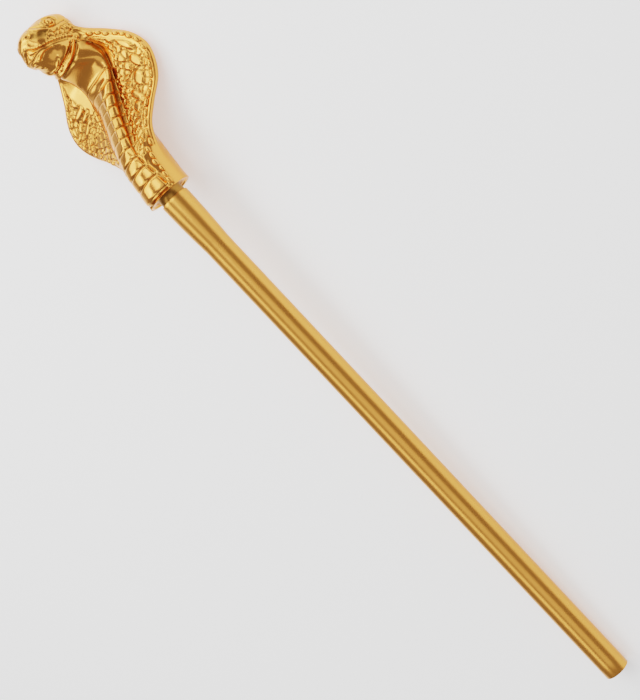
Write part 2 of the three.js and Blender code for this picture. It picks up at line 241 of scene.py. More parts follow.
@dataclass
class CobraForm:
    """The cobra's plain form, without its carving."""

    stations: tuple[Station, ...] = STATIONS
    lip_height: float = 4.8
    band_count: int = 11
    band_high: float = 10.7
    band_low: float = 15.4
    band_shrink: float = 0.7
    band_drop: float = 3.6
    rim_half: float = 4.6
    rim_angle: float = 0.12
    firm: float = 0.64
    ridge: float = 0.8
    ridge_start: float = -4.0
    ridge_run: float = 10.0
    gentle_side: float = 0.95
    gentle_ahead: float = 2.5
    crown_square: float = 0.35
    crown_place: float = 11.6
    crown_spread: float = 1.6
    sway_reach: float = 6.0
    sway_place: float = 8.8
    sway_spread: float = 2.0
    rim_samples: int = 8
    collar_shares: Point3 = (0.36, 0.52, 0.60)
    hood_shares: Point3 = (0.19, 0.73, 0.81)
    head_shares: Point3 = (0.25, 0.46, 0.54)
    widest_flank: float = 14.0
    flank_begins: float = 8.0
    bend_passes: int = 3
    plain_values: tuple[str, ...] = ("half", "edge", "hood", "column", "lobe", "flank")
    tracks: dict[str, Array] = field(init=False)

    def __post_init__(self) -> None:
        """Lays the stations' values out in rows."""
        st = self.stations
        rows = {name: [getattr(s, name) for s in st] for name in self.plain_values}
        rows["belly_ahead"], rows["belly_up"] = zip(*(s.belly for s in st))
        rows["back_ahead"], rows["back_up"] = zip(*(s.back for s in st))
        self.tracks = {name: np.array(row, float) for name, row in rows.items()}
        samples = np.arange(len(st) * self.rim_samples) / self.rim_samples
        half = along(self.tracks["half"], samples)
        back = along(self.tracks["back_up"], samples)
        runs = np.concatenate(([0.0], np.cumsum(np.hypot(np.diff(half), np.diff(back)))))
        self.tracks["rim_run"] = runs

    @property
    def last(self) -> int:
        """The last station's place."""
        return len(self.stations) - 1

    def borders(self) -> Array:
        """Returns the heights of the bands' borders on the belly, from the lip to the throat."""
        shrink = self.band_shrink ** np.arange(self.band_count)
        steps = self.band_high + (self.band_low - self.band_high) * shrink
        return self.lip_height + np.concatenate(([0.0], np.cumsum(steps)))

    def place_of_belly(self, height: Value) -> Array:
        """Returns the places where the belly line reaches the heights."""
        fine = np.linspace(0, self.last, 4001)
        return np.interp(height, along(self.tracks["belly_up"], fine), fine)

    def sections(self, place: Array) -> Sections:
        """Reads all values at a row of places.

        Args:
            place: Places between 0 and the last station.

        Returns:
            The sections there.
        """
        at = np.asarray(place, float)
        values = {name: along(track, at) for name, track in self.tracks.items() if name != "rim_run"}
        values["hood"] = np.clip(values["hood"], 0, 1)
        values["rim_run"] = along(self.tracks["rim_run"], at * self.rim_samples)
        values["crown"] = 1 - self.crown_square * bell(at - self.crown_place, self.crown_spread)
        values["sway"] = self.sway_reach * bell(at - self.sway_place, self.sway_spread)
        return Sections(place=at, **values)

    def shares(self, place: Array) -> tuple[Array, Array, Array]:
        """Works out where the belly, the lobe and the rim end, as shares of a half section's ribs.

        Args:
            place: A column of places.

        Returns:
            The three ends, each a column.
        """
        collar, hood, head = map(np.array, (self.collar_shares, self.hood_shares, self.head_shares))
        ends = mix(collar, hood, ease((place - 1.2) / 2.4))
        ends = mix(ends, head, ease((place - 9.4) / 2.0))
        return ends[:, 0:1], ends[:, 1:2], ends[:, 2:3]

    def lay(self, s: Sections, share: Array, hand: Array, ends: tuple[Array, ...]) -> tuple[Array, ...]:
        """Finds the points of a net.

        Args:
            s: The sections, one value for each row or for each knot.
            share: For each rib, its share of the way from the belly to the back.
            hand: For each rib, 1 on the left and -1 on the right.
            ends: Where the belly, the lobe and the rim end, as shares.

        Returns:
            The strip, the place across the strip, the distance from the middle and the point.
        """
        starts = (np.zeros_like(ends[0]), *ends)
        stops = (*ends, np.ones_like(ends[0]))
        belly, lobe, rim, back = (np.clip((share - a) / (b - a), 0, 1) for a, b in zip(starts, stops))
        strip = (share >= ends[0]).astype(int) + (share >= ends[1]) + (share >= ends[2])
        t = np.choose(strip, (belly, lobe, rim, back))

        flank = np.where(hand > 0, 0.0, np.maximum(s.flank, 0))
        column = s.column + flank
        gentle = np.clip(flank / self.widest_flank, 0, 1)
        foot = np.arcsin(np.clip(column / s.half, 0, 1))
        angle = foot * belly + (QUARTER - self.rim_angle - foot) * lobe
        angle = angle + 2 * self.rim_angle * rim + (QUARTER - self.rim_angle) * back
        across, front = np.sin(angle), np.cos(angle)
        fore = front > 0
        round_side = s.half * np.where(fore, across, np.abs(across) ** s.crown)
        reach = np.where(fore, s.belly_ahead - s.edge, s.edge - s.back_ahead)
        round_ahead = s.edge + reach * np.where(fore, front, -(np.abs(front) ** s.crown))

        belly_side = column * np.sin(belly * QUARTER) ** mix(self.firm, self.gentle_side, gentle)
        rise = np.maximum(0, np.cos(belly * QUARTER)) ** mix(self.firm, self.gentle_ahead, gentle)
        ridge = self.ridge * ease((hand * belly_side - self.ridge_start) / self.ridge_run)
        belly_ahead = mix(s.lobe, s.belly_ahead + ridge * ease(s.flank / self.flank_begins), rise)
        inner = s.half - self.rim_half
        rim_side = inner + self.rim_half * np.sin(rim * math.pi)
        rim_ahead = s.edge + self.rim_half * np.cos(rim * math.pi)
        flat_side = np.choose(strip, (
            belly_side, mix(column, inner, lobe), rim_side, inner * (1 - back)))
        flat_ahead = np.choose(strip, (
            belly_ahead, mix(s.lobe, s.edge + self.rim_half, lobe), rim_ahead,
            mix(s.edge - self.rim_half, s.back_ahead, ease(back))))

        side = mix(round_side, flat_side, s.hood)
        ahead = mix(round_ahead, flat_ahead, s.hood)
        depth = (s.belly_ahead - ahead) / (s.belly_ahead - s.back_ahead)
        zero = np.zeros_like(side)
        lean = np.choose(strip, (s.sway + zero, s.sway * (1 - ease(2 * lobe)), zero, zero))
        up = mix(s.belly_up, s.back_up, depth)
        return strip, t, side, np.stack((up, -hand * side - lean, ahead), axis=-1)

    def net(self, place: Array, share: Array, hand: Array) -> Net:
        """Lays a net over the form, with its rows bent along the bands.

        Args:
            place: Places of the rows, in the middle of the belly.
            share: For each rib, its share of the way from the belly to the back.
            hand: For each rib, 1 on the left and -1 on the right.

        Returns:
            The net with its points.
        """
        place = place.reshape(-1, 1)
        share = share.reshape(1, -1)
        hand = hand.reshape(1, -1)
        ends = self.shares(place)
        middle = self.sections(place)
        top = self.place_of_belly(self.borders()[-1])
        rate = np.gradient(middle.belly_up, axis=0) / np.gradient(place, axis=0)
        at = place + np.zeros_like(share)
        reach = np.clip((share - ends[0]) / (ends[1] - ends[0]), 0, 1)
        bend = (1 - ease(reach)) * ease(share / ends[0] / 0.9) * ease(place / 0.5)
        drop = self.band_drop * ease((place - 0.5) / 5)
        wanted = middle.belly_up - drop * np.clip(share / ends[0], 0, 1) ** 2
        for _ in range(self.bend_passes):
            point = self.lay(self.sections(at), share, hand, ends)[3]
            at = at + bend * (wanted - point[..., 0]) / np.maximum(rate, 4)
        last = int(np.searchsorted(place[:, 0], top + 1e-6)) - 1
        if last > 0:
            held = (at[last] - place[last]) * (1 - ease((place - top) / 2.4))
            at = np.where(place > top, place + held, at)
        at = np.clip(at, 0, self.last)
        s = self.sections(at)
        strip, t, side, point = self.lay(s, share, hand, ends)
        gentle = np.where(hand > 0, 0.0, np.clip(s.flank / self.widest_flank, 0, 1))
        return Net(s, middle.belly_up, hand, strip, t, side, gentle, point)


@dataclass(frozen=True)
class Boss:
    """A large scale on the hood, as a rounded oblong.

    Left and up are its middle, long and wide its half sizes, turn its angle in degrees from
    straight across towards the head, and swell its height.
    """

    left: float
    up: float
    long: float
    wide: float
    turn: float
    swell: float = 1.8


def oblong(net: Net, boss: Boss, corner: float = 2.8) -> Array:
    """Works out how far out each knot lies in a boss's outline.

    Args:
        net: The net.
        boss: The large scale.
        corner: How square the outline is, 2 for an ellipse.

    Returns:
        0 in the boss's middle and 1 on its outline.
    """
    angle = math.radians(boss.turn)
    across = net.left - boss.left
    rise = net.up - boss.up
    a = (across * math.cos(angle) + rise * math.sin(angle)) / boss.long
    b = (rise * math.cos(angle) - across * math.sin(angle)) / boss.wide
    return (np.abs(a) ** corner + np.abs(b) ** corner) ** (1 / corner)


def scatter(i: Array, j: Array, seed: float) -> Array:
    """Returns a fixed random number from 0 to 1 for each cell of a lattice."""
    wave = np.sin(i * 127.1 + j * 311.7 + seed * 74.7) * 43758.5453
    return wave - np.floor(wave)


def cobbles(x: Array, y: Array, seed: float, loose: float = 0.7) -> tuple[Array, ...]:
    """Divides a plane into irregular cells.

    Args:
        x: Place across, in cells.
        y: Place up, in cells.
        seed: Picks one layout.
        loose: How far cells stray from a square lattice, from 0 to 1.

    Returns:
        The distance to the cell's border, a random number for each cell, and the place across
        and up from the cell's middle, all in cells.
    """
    nearest, second = (np.full(x.shape, 9.0) for _ in range(2))
    own, across, rise = (np.zeros(x.shape) for _ in range(3))
    for di in range(-2, 3):
        for dj in range(-2, 3):
            i = np.floor(x) + di
            j = np.floor(y) + dj
            px = i + 0.5 + loose * (scatter(i, j, seed) - 0.5)
            py = j + 0.5 + loose * (scatter(j + 17, i, seed) - 0.5)
            away = np.hypot(px - x, py - y)
            closer = away < nearest
            second = np.where(closer, nearest, np.minimum(second, away))
            nearest = np.where(closer, away, nearest)
            own = np.where(closer, scatter(i + 5, j + 9, seed), own)
            across = np.where(closer, x - px, across)
            rise = np.where(closer, y - py, rise)
    return (second - nearest) / 2, own, across, rise


@dataclass
class Laying:
    """Turns the sceptre's own frame into the room's, where it lies on the floor."""

    tail_up: float = -652.7
    tail_radius: float = 13.6
    rest_place: float = 8.4
    flat_depth: float = 1.0
    tilt: float = field(init=False)
    offset: Array = field(init=False)

    def settle(self, form: CobraForm) -> None:
        """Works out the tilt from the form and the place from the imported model.

        Args:
            form: The cobra's plain form, whose back lies on the floor.
        """
        rest = form.sections(np.array([self.rest_place]))
        hood = (float(rest.back_up[0]), float(rest.back_ahead[0]) + self.flat_depth)
        self.tilt = math.atan2(-self.tail_radius - hood[1], hood[0] - self.tail_up)
        self.offset = np.zeros(3)
        corner = self.place(np.array([[self.tail_up, 0.0, self.tail_radius]]))[0]
        ground = self.place(np.array([[self.tail_up, 0.0, -self.tail_radius]]))[0]
        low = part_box("shaft")[0]
        self.offset = np.array([low[0] - min(corner[0], ground[0]), 0.0, -ground[2]])

    def turn(self, vectors: Array) -> Array:
        """Turns vectors from the sceptre's frame to the room's.

        Args:
            vectors: Vectors, with x, y and z last.

        Returns:
            The turned vectors, in the same layout.
        """
        c, s = math.cos(self.tilt), math.sin(self.tilt)
        x, y, z = vectors[..., 0], vectors[..., 1], vectors[..., 2]
        return np.stack((c * x - s * z, y, s * x + c * z), axis=-1)

    def place(self, points: Array) -> Array:
        """Turns points in millimetres into the room's metres."""
        return self.turn(points) * MM + self.offset


def mesh_object(name: str, points: Array, faces: list, material: bpy.types.Material,
                edges: tuple[tuple[int, int], ...] = ()) -> bpy.types.Object:
    """Makes a smooth mesh object from points and faces.

    Args:
        name: The piece's name.
        points: Points in metres.
        faces: Corner numbers of each face.
        material: The finish.
        edges: Point numbers of each loose edge, for an outline without faces.

    Returns:
        The new object, linked to the scene.
    """
    mesh = bpy.data.meshes.new(name)
    mesh.from_pydata(points.tolist(), edges, faces)
    mesh.materials.append(material)
    mesh.polygons.foreach_set("use_smooth", [True] * len(mesh.polygons))
    mesh.update()
    piece = bpy.data.objects.new(name, mesh)
    bpy.context.scene.collection.objects.link(piece)
    return piece


def mesh_points(mesh: bpy.types.Mesh) -> Array:
    """Returns a mesh's points, one row each."""
    points = np.empty(len(mesh.vertices) * 3)
    mesh.vertices.foreach_get("co", points)
    return points.reshape(-1, 3)


def within_node(points: Array, node: str) -> Array:
    """Returns the points, with any that lie outside a CAD node's box moved onto it."""
    low, high = (np.array(corner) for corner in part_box(node))
    return np.clip(points, low, high)


def move_points(mesh: bpy.types.Mesh, points: Array) -> None:
    """Gives a mesh's points new places."""
    mesh.vertices.foreach_set("co", points.reshape(-1))
    mesh.update()


def add_values(mesh: bpy.types.Mesh, name: str, values: Array) -> None:
    """Stores one number for each point of a mesh under a name."""
    layer = mesh.attributes.new(name, "FLOAT", "POINT")
    layer.data.foreach_set("value", values.astype(np.float32))


def smooth_path(path: Path3, steps: int = 6) -> Array:
    """Draws a smooth curve through a path's corners.

    Args:
        path: The corners.
        steps: How many points each stretch gets.

    Returns:
        Points on the curve, one row each.
    """
    corners = np.array(path, float)
    places = np.linspace(0, len(path) - 1, (len(path) - 1) * steps + 1)
    return np.stack([along(corners[:, k], places) for k in range(3)], axis=-1)


@dataclass(frozen=True)
class Line:
    """A ridge or a groove drawn on the face, alike on both sides.

    Its path runs through (side, up, ahead) points. Swell is its height, below 0 for a groove, and
    radius its half width. Beads, where given, is how far apart its small beads are.
    """

    name: str
    path: Path3
    swell: float
    radius: float
    beads: float = 0.0
    hands: tuple[Hand, ...] = (Hand.LEFT, Hand.RIGHT)


@dataclass(frozen=True)
class Knob:
    """A round bump or pit on the face, on one side or both."""

    name: str
    at: Point3
    swell: float
    radius: float
    hands: tuple[Hand, ...] = (Hand.LEFT, Hand.RIGHT)


@dataclass(frozen=True)
class Ring:
    """A round ridge or groove: how far it lies from its middle, its height and its half width."""

    name: str
    away: float
    swell: float
    width: float


def rings(row: tuple[Ring, ...], away: Array, scale: float = 1.0) -> Array:
    """Adds up the relief of rings round one middle.

    Args:
        row: The rings.
        away: Each knot's distance from the middle.
        scale: What the rings' distances are counted in, in millimetres.

    Returns:
        The height of each knot.
    """
    return sum(ring.swell * bell(away - ring.away * scale, ring.width) for ring in row)


EYE_RINGS = (
    Ring("rim", 1.38, 1.2, 0.7),
    Ring("groove", 1.03, -1.7, 0.6),
    Ring("moat", 1.85, -0.9, 0.9),
)
EYE_LID = Ring("lid", 2.15, 0.9, 0.9)
NOSTRIL_RINGS = (
    Ring("rim", 3.0, 0.6, 0.7),
    Ring("pit", 0.0, -2.0, 1.9),
    Ring("dot", 0.0, 1.1, 0.7),
)
LEFT = (Hand.LEFT,)
RIGHT = (Hand.RIGHT,)
FACE_LINES = (
    Line("upper lip", ((27, 183.4, -24.4), (25.2, 186.3, -17.8), (23, 188.4, -11.1), (19.8, 190.2, -0.8),
                       (14.4, 191.8, 8.3), (9.8, 194.2, 10.7), (5, 198.4, 11.9), (1.5, 200.7, 12.2),
                       (0, 201, 12.3)), 1.15, 0.95, 3.2),
    Line("mouth", ((26.8, 182.7, -24), (24.7, 184.9, -17.4), (22.4, 186.9, -10), (18.8, 188.9, 1.1),
                   (14.2, 190.4, 8.3), (8.5, 193, 11.1), (4.4, 196.3, 11.8), (1.2, 198.8, 12),
                   (0, 199.1, 12)), -1.1, 0.8),
    Line("lower lip", ((25.2, 183.7, -18.5), (22.1, 185.7, -9.4), (18, 187.7, 1.7), (12, 190, 9.6),
                       (8.6, 191.4, 11)), 0.6, 0.65),
    Line("lip fold", ((25.1, 182.3, -18), (21.7, 184.6, -8.5), (17.4, 186.6, 2.1), (10.8, 188, 9.7),
                      (5.4, 187.9, 11.5), (0, 187.3, 11.8)), -0.7, 0.7),
    Line("outer fold", ((18.2, 185.2, -1.5), (14.4, 186.2, 6.1), (9, 185.2, 9.7), (4.2, 183.6, 10.5)),
         0.8, 0.75),
    Line("under fold", ((18.1, 183.7, -2), (13.3, 184.5, 6.4), (8.5, 183.3, 9), (4.4, 182, 9.7)), -0.6, 0.75),
    Line("inner fold", ((9.5, 189.6, 10.5), (5.1, 189.3, 11.6), (0, 189, 11.9)), 0.5, 0.55),
    Line("front curl", ((0.4, 197.6, 12), (1.6, 194.4, 12), (7, 191.5, 11.4)), 0.7, 0.75, 0.0, LEFT),
    Line("under curl", ((-1.4, 197.4, 12), (-1.2, 193.9, 12), (3.9, 190.9, 11.9), (8.3, 190.1, 11.1)),
         -0.8, 0.7, 0.0, LEFT),
    Line("right curl", ((2.4, 196.8, 12), (4.6, 193.4, 11.8), (4.6, 191.2, 11.8)), -0.8, 0.8, 0.0, RIGHT),
    Line("jaw hoop", ((25.3, 178.1, -22.5), (24.5, 173.4, -18.1), (22.2, 168.7, -13.3), (17.9, 165.5, -9.6),
                      (13.2, 164.2, -7.4), (8.1, 163.5, -6.7), (2.6, 162.9, -7.3), (0, 162.8, -7.3)),
         2.4, 1.5),
    Line("hoop groove", ((26.2, 175, -24.4), (25, 169.2, -18.7), (21, 164.2, -13.5), (16, 161.8, -10.9),
                         (9.2, 160.5, -9.6), (0, 160, -9.8)), -1.8, 1.3),
    Line("pouch groove", ((24.9, 178, -19.1), (22.9, 173.6, -13.9), (19.7, 170.6, -9.4), (15.5, 168.4, -6.2),
                          (9.7, 167.3, -4.1), (0, 166.2, -4)), -1.5, 1.2),
    Line("cord", ((10.1, 171.6, -1.3), (5.4, 169.7, -1.2), (0, 168.6, -2.3)), 0.8, 0.7),
    Line("eye crease", ((11.8, 214.8, -2.6), (17.1, 210.9, -3.2), (21.2, 207.1, -5.3), (24, 202.3, -9.4),
                        (25.3, 201.5, -18.2), (26.1, 201.6, -23.4), (26.7, 202.2, -32.6)), -1.3, 0.9),
    Line("cheek ridge", ((12.6, 212.9, 0.4), (16.8, 208.7, 0.7), (20.2, 205.2, -1.2), (23.4, 201.4, -8),
                         (24.7, 199.4, -13.7), (25.9, 199.3, -21), (26.8, 200.3, -29.6)), 0.9, 1.2),
    Line("brow", ((18.4, 215.6, -16.5), (20.6, 214, -16.1), (20.9, 212.5, -13), (20.5, 211.2, -9.9)),
         1.1, 1.0),
    Line("brow arch", ((20.6, 215.2, -19), (23, 213.2, -24), (25, 209.6, -27), (26.2, 205.6, -26)), 0.8, 1.3),
)
HOLLOWS = (
    Line("cheek hollow", ((16, 203.2, 5.2), (19, 200.4, 3), (22, 199.2, -2.7)), -1.3, 4.2),
    Line("pouch", ((23.4, 176.8, -14.5), (19, 174.6, -8), (14.5, 173.6, -4.2)), 1.5, 3.6),
    Line("pouch wing", ((21.6, 178.6, -9.8), (17, 178.8, -3.6)), 0.9, 3.0),
)
FACE_KNOBS = (
    Knob("mouth corner", (27.7, 179.6, -28.7), 1.6, 1.3),
    Knob("hoop end", (26.2, 177.3, -26.3), 1.7, 1.6),
    Knob("lip end", (27, 183.4, -24.6), 0.8, 0.9),
    Knob("throat bar", (0.0, 160.2, -10.2), 1.5, 1.5),
    Knob("chin star", (4.6, 176.5, 3.7), 1.1, 1.2, RIGHT),
    Knob("chin dot", (7, 178.6, 4.6), 0.8, 0.9, RIGHT),
    Knob("front knob", (4.5, 199.4, 11.8), 1.1, 1.3, RIGHT),
    Knob("front pit", (4.6, 191.2, 11.8), -1.0, 1.1, RIGHT),
    Knob("nose dot", (6.2, 203.4, 11.4), -0.8, 0.5, LEFT),
    Knob("mouth corner pit", (28.6, 189.5, -29.5), -1.2, 1.1),
)
LEFT_BOSSES = (
    Boss(61.1, 138, 12.8, 4.5, -64, 1.9),
    Boss(59.3, 116.8, 9.4, 4.8, -62, 1.8),
    Boss(50, 103, 7.6, 7, -60, 2.0),
    Boss(36.8, 92.6, 10, 4.0, -56, 1.6),
    Boss(31.5, 84.6, 5.8, 5.2, -50, 1.4),
    Boss(49.5, 152.5, 5.2, 3.6, -40, 1.3),
    Boss(45.5, 120.5, 5.2, 4.2, -45, 1.3),
)
RIGHT_BOSSES = (
    Boss(-30, 145.4, 6.2, 3.8, -35, 1.3),
    Boss(-36.5, 154, 5.4, 5, -30, 1.2),
    Boss(-42, 145.6, 5.2, 4.8, -30, 1.3),
    Boss(-44.2, 135.6, 13, 3.7, 10, 1.7),
    Boss(-42.8, 128, 9, 2.9, 12, 1.4),
    Boss(-49.8, 117.4, 11, 3.0, 22, 1.5),
    Boss(-48.8, 106.8, 8, 2.6, 34, 1.4),
    Boss(-57.5, 124.6, 5.4, 3.4, 40, 1.2),
)

# How far from the middle the hood's scales begin, as (height, distance), and then, as (place,
# distance in from the edge), where the plates run. Knots and pearls are (left, up, ahead).
SCALES_BEGIN = ((0, 0), (104, 0), (112, 16), (119, 19), (125, 28), (141, 38), (152, 41), (160, 38),
                (172, 33), (190, 30))
LEFT_EDGE = ((2.4, 8.5), (3.4, 8.8), (4.2, 12), (4.7, 11), (5.3, 8), (6.85, 5.2), (7.94, 3.2), (8.8, 2.6),
             (9.7, 5))
RIGHT_EDGE = ((3.6, 8), (5, 11), (7, 10.4), (8, 10), (8.7, 9))
NECK_KNOTS = ((20.8, 54.7, 0.8), (22.3, 44.1, 4.5), (22.3, 36.5, 5.5), (21.3, 29.4, 8.2), (22.3, 20.8, 7.7),
              (21.3, 14.1, 10.5), (21.8, 6.9, 11.5))
JAW_PEARLS = ((8, 166.1, -4.3), (0.8, 165.3, -4.8), (-4.8, 168.2, -3.4), (5.2, 168.4, -2.6))


@dataclass
class Carving:
    """The relief on the cobra: how far each knot of the net is raised from the plain form."""

    form: CobraForm
    band_swell: float = 1.0
    band_groove: float = 1.0
    groove_half: float = 0.6
    pocket_depth: float = 1.5
    flank_edge: float = 6.5
    flank_up: float = 45.0
    flank_fade: float = 0.88
    gentle_end: float = 1.5
    groove_widens: float = 0.62
    pillow_end: float = 0.86
    band_end: float = 0.98
    web: float = 0.85
    web_half: float = 1.5
    wall_place: float = 0.93
    wall_spread: float = 0.085
    ledge: float = 0.6
    cell: float = 6.2
    cell_high: float = 0.9
    over_way: tuple[float, float] = (0.729, -0.90)
    rise_way: tuple[float, float] = (0.685, 0.96)
    way_length: float = 1.316
    rows_middle: tuple[float, float] = (27.0, 100.0)
    rows_reach: tuple[float, float] = (11.0, 15.0)
    row_wide: float = 8.2
    row_high: float = 4.7
    cobble_seed: float = 3.0
    row_seed: float = 8.0
    crown_seed: float = 5.0
    crown_cell: tuple[float, float] = (15.0, 14.0)
    temple_seed: float = 21.0
    temple_cell: tuple[float, float] = (7.4, 5.0)
    temple_low: float = 187.2
    temple_high: float = 200.5
    temple_middle: float = 14.0
    temple_front: float = -0.5
    temple_back: float = -38.0
    boss_rim: float = 1.2
    boss_moat: float = 0.9
    edge_margin: float = 6.5
    cell_swell: float = 0.7
    cell_groove: float = 0.8
    cell_tilt: float = 0.7
    cell_edge: float = 0.14
    back_cell: float = 9.0
    back_swell: float = 0.4
    eye: Point3 = (24.2, 207.6, -16.0)
    eye_ball: float = 3.7
    eye_high: float = 2.4
    lid_way: Point3 = (-0.35, 0.6, 0.72)
    nostril: Point3 = (10.8, 207.6, 8.4)

    def bands(self, net: Net) -> Array:
        """Works out the relief of the belly's bands and the pockets at their ends.

        Args:
            net: The net.

        Returns:
            The height of each knot.
        """
        borders = self.form.borders()
        height = net.row_height
        index = np.clip(np.searchsorted(borders, height, side="right") - 1, 0, self.form.band_count - 1)
        low, high = borders[index], borders[index + 1]
        within = (height - low) / (high - low)
        joint = np.minimum(height - low, high - height)
        t = np.where(net.on(Strip.BELLY), net.t * mix(1, self.gentle_end, net.gentle), 1.0)
        end = ease((t - self.groove_widens) / 0.2)
        groove = self.band_groove * bell(joint, mix(self.groove_half, 1.4 * self.groove_half, end))
        pillow = self.band_swell * (1 - np.abs(2 * within - 1) ** 5) * ease((self.pillow_end - t) / 0.1)
        wall = bell(t - self.wall_place, self.wall_spread)
        web = self.web * bell(joint, self.web_half)
        pocket = -self.pocket_depth * wall * (1 - web) * (net.hand > 0)
        raise_ = (pillow - groove) * ease((self.band_end - t) / 0.1) + pocket
        ledge = self.ledge * (net.hand > 0) * bell(t - 1, 0.05)
        flank = ease(net.s.flank / self.form.flank_begins) * ease((height - self.flank_up) / 30)
        flank = flank * ease((self.flank_edge - net.left) / 3.5)
        raise_ = raise_ * (1 - self.flank_fade * flank)
        on = net.on(Strip.BELLY) * ease(height / 1.5) * (height < borders[-1] + 0.01)
        return (raise_ + ledge) * on

    def lobes(self, net: Net) -> Array:
        """Works out the relief of the scales on the front of the hood.

        Small scales fill a lattice along the two slants that the photograph shows, with rows of
        flatter ones on the left, and the large scales are set over them.

        Args:
            net: The net.

        Returns:
            The height of each knot.
        """
        inset = net.s.half - np.abs(net.left)
        x, y = net.left, net.up
        over = (self.over_way[0] * x + self.over_way[1] * y) / self.way_length
        rise = (self.rise_way[0] * x + self.rise_way[1] * y) / self.way_length
        wave = 0.9 * np.sin(y / 5.1) + 0.8 * np.sin(x / 4.3 + 1.7)
        upward = (rise - wave) / (self.cell_high * self.cell)
        border, own, dx, dy = cobbles((over + wave) / self.cell, upward, self.cobble_seed)
        top = self.cell_swell * (0.7 + 0.6 * own)
        top = top + self.cell_tilt * (dx * (own - 0.5) + dy * (0.5 - (own * 7.3) % 1))
        shape = mix(-self.cell_groove, top, ease(border / self.cell_edge))
        across, upward = (over + 0.5 * wave) / self.row_wide, (rise + 0.4 * wave) / self.row_high
        rowed, own, dx, dy = cobbles(across, upward, self.row_seed, 0.6)
        top = self.cell_swell * (0.7 + 0.6 * own) + self.cell_tilt * (dx * (own - 0.5) + 0.3 * dy)
        rows = mix(-self.cell_groove, top, ease(rowed / self.cell_edge))
        middle, reach = self.rows_middle, self.rows_reach
        out = np.hypot((np.abs(x) - middle[0]) / reach[0], (y - middle[1]) / reach[1])
        shape = np.where((ease(1.6 - out) > 0.5) & (net.hand > 0), rows, shape)
        for boss in (*LEFT_BOSSES, *RIGHT_BOSSES):
            out = oblong(net, boss)
            dome = boss.swell * (1 - 0.45 * np.clip(out, 0, 1) ** 3)
            edge = (out - 1) * min(boss.long, boss.wide)
            raised = np.maximum(dome - self.boss_rim * bell(edge, 0.9), -self.cell_groove)
            shape = np.where(out < 1, raised, shape)
            shape = shape - self.boss_moat * bell(edge - 0.35, 0.6) * (out >= 1)
        room = ease((net.s.half - net.s.column - 3) / 9)
        start = ease((np.abs(x) - np.interp(y, *zip(*SCALES_BEGIN))) / 2.6) * ease(net.t / 0.05)
        stop = ease((inset - self.edge_margin) / 2.2)
        return shape * room * start * stop * net.on(Strip.LOBE) * ease(net.s.place / 0.35)

    def back(self, net: Net) -> Array:
        """Works out the low scales on the back of the hood, in slanting rows.

        Args:
            net: The net.

        Returns:
            The height of each knot.
        """
        a = (net.left + net.up) / self.back_cell
        b = (net.left - net.up) / self.back_cell
        edge = np.minimum(0.5 - np.abs(a - np.round(a)), 0.5 - np.abs(b - np.round(b)))
        shape = mix(-0.3 * self.back_swell, self.back_swell, ease(edge / 0.2))
        reach = ease((net.t - 0.12) / 0.12) * ease((net.s.place - 0.4) / 0.6)
        reach = reach * ease((12.2 - net.s.place) / 1.2)
        return shape * reach * net.on(Strip.BACK)

    def sides(self, net: Net, hands: tuple[Hand, ...]) -> Array:
        """Returns 1 on the sides that a line or a knob lies on."""
        return sum((net.hand == hand.value) * 1.0 for hand in hands)

    def face_place(self, net: Net) -> Array:
        """Returns each knot's place as (side, up, ahead), alike on both sides of the leaning neck."""
        lean = net.left - net.hand * net.side
        return np.stack((net.side + lean, net.up, net.ahead), axis=-1)

    def side_distance(self, net: Net, path: Array) -> tuple[Array, Array]:
        """Measures to a path on the face, in space.

        Args:
            net: The net.
            path: Points as (side, up, ahead).

        Returns:
            The distance and the length along the path to the nearest point.
        """
        here = self.face_place(net)
        nearest = np.full(here.shape[:2], np.inf)
        run = np.zeros_like(nearest)
        done = 0.0
        for start, stop in zip(path[:-1], path[1:]):
            step = stop - start
            length = float(np.linalg.norm(step))
            t = np.clip(((here - start) @ step) / length**2, 0, 1)
            away = np.linalg.norm(here - start - t[..., None] * step, axis=-1)
            run = np.where(away < nearest, done + t * length, run)
            nearest = np.minimum(nearest, away)
            done += length
        return nearest, run

    def face(self, net: Net) -> Array:
        """Works out the relief of the eyes, the nostrils, the mouth, the folds and the temples.

        Args:
            net: The net.

        Returns:
            The height of each knot.
        """
        raise_ = np.zeros(net.point.shape[:2])
        distances = {}
        for line in (*HOLLOWS, *FACE_LINES):
            away, run = self.side_distance(net, smooth_path(line.path))
            distances[line.name] = away
            pulse = 1.0
            if line.beads:
                pulse = 0.72 + 0.28 * np.cos(run / line.beads * 2 * math.pi)
            raise_ = raise_ + line.swell * pulse * bell(away, line.radius) * self.sides(net, line.hands)
        here = self.face_place(net)
        for knob in FACE_KNOBS:
            away = np.linalg.norm(here - np.array(knob.at), axis=-1)
            raise_ = raise_ + knob.swell * bell(away, knob.radius) * self.sides(net, knob.hands)
        raise_ = raise_ + self.eyes(here) + self.nostrils(here) + self.temples(net, distances)
        return raise_ * ease((net.s.place - 9.2) / 0.5)

    def eyes(self, here: Array) -> Array:
        """Works out the relief of the eyeball, its ring and the lid in front of it.

        Args:
            here: Each knot's place on the face.

        Returns:
            The height of each knot.
        """
        centre = np.array(self.eye)
        away = np.linalg.norm(here - centre, axis=-1)
        ball = self.eye_high * np.sqrt(np.clip(1 - (away / self.eye_ball) ** 2, 0, 1))
        front = ease(((here - centre) @ np.array(self.lid_way)) / 3)
        lid = rings((EYE_LID,), away, self.eye_ball) * front
        return ball + rings(EYE_RINGS, away, self.eye_ball) + lid

    def nostrils(self, here: Array) -> Array:
        """Returns the relief of the nostrils: a rim round a pit with a small dot in it."""
        return rings(NOSTRIL_RINGS, np.linalg.norm(here - np.array(self.nostril), axis=-1))

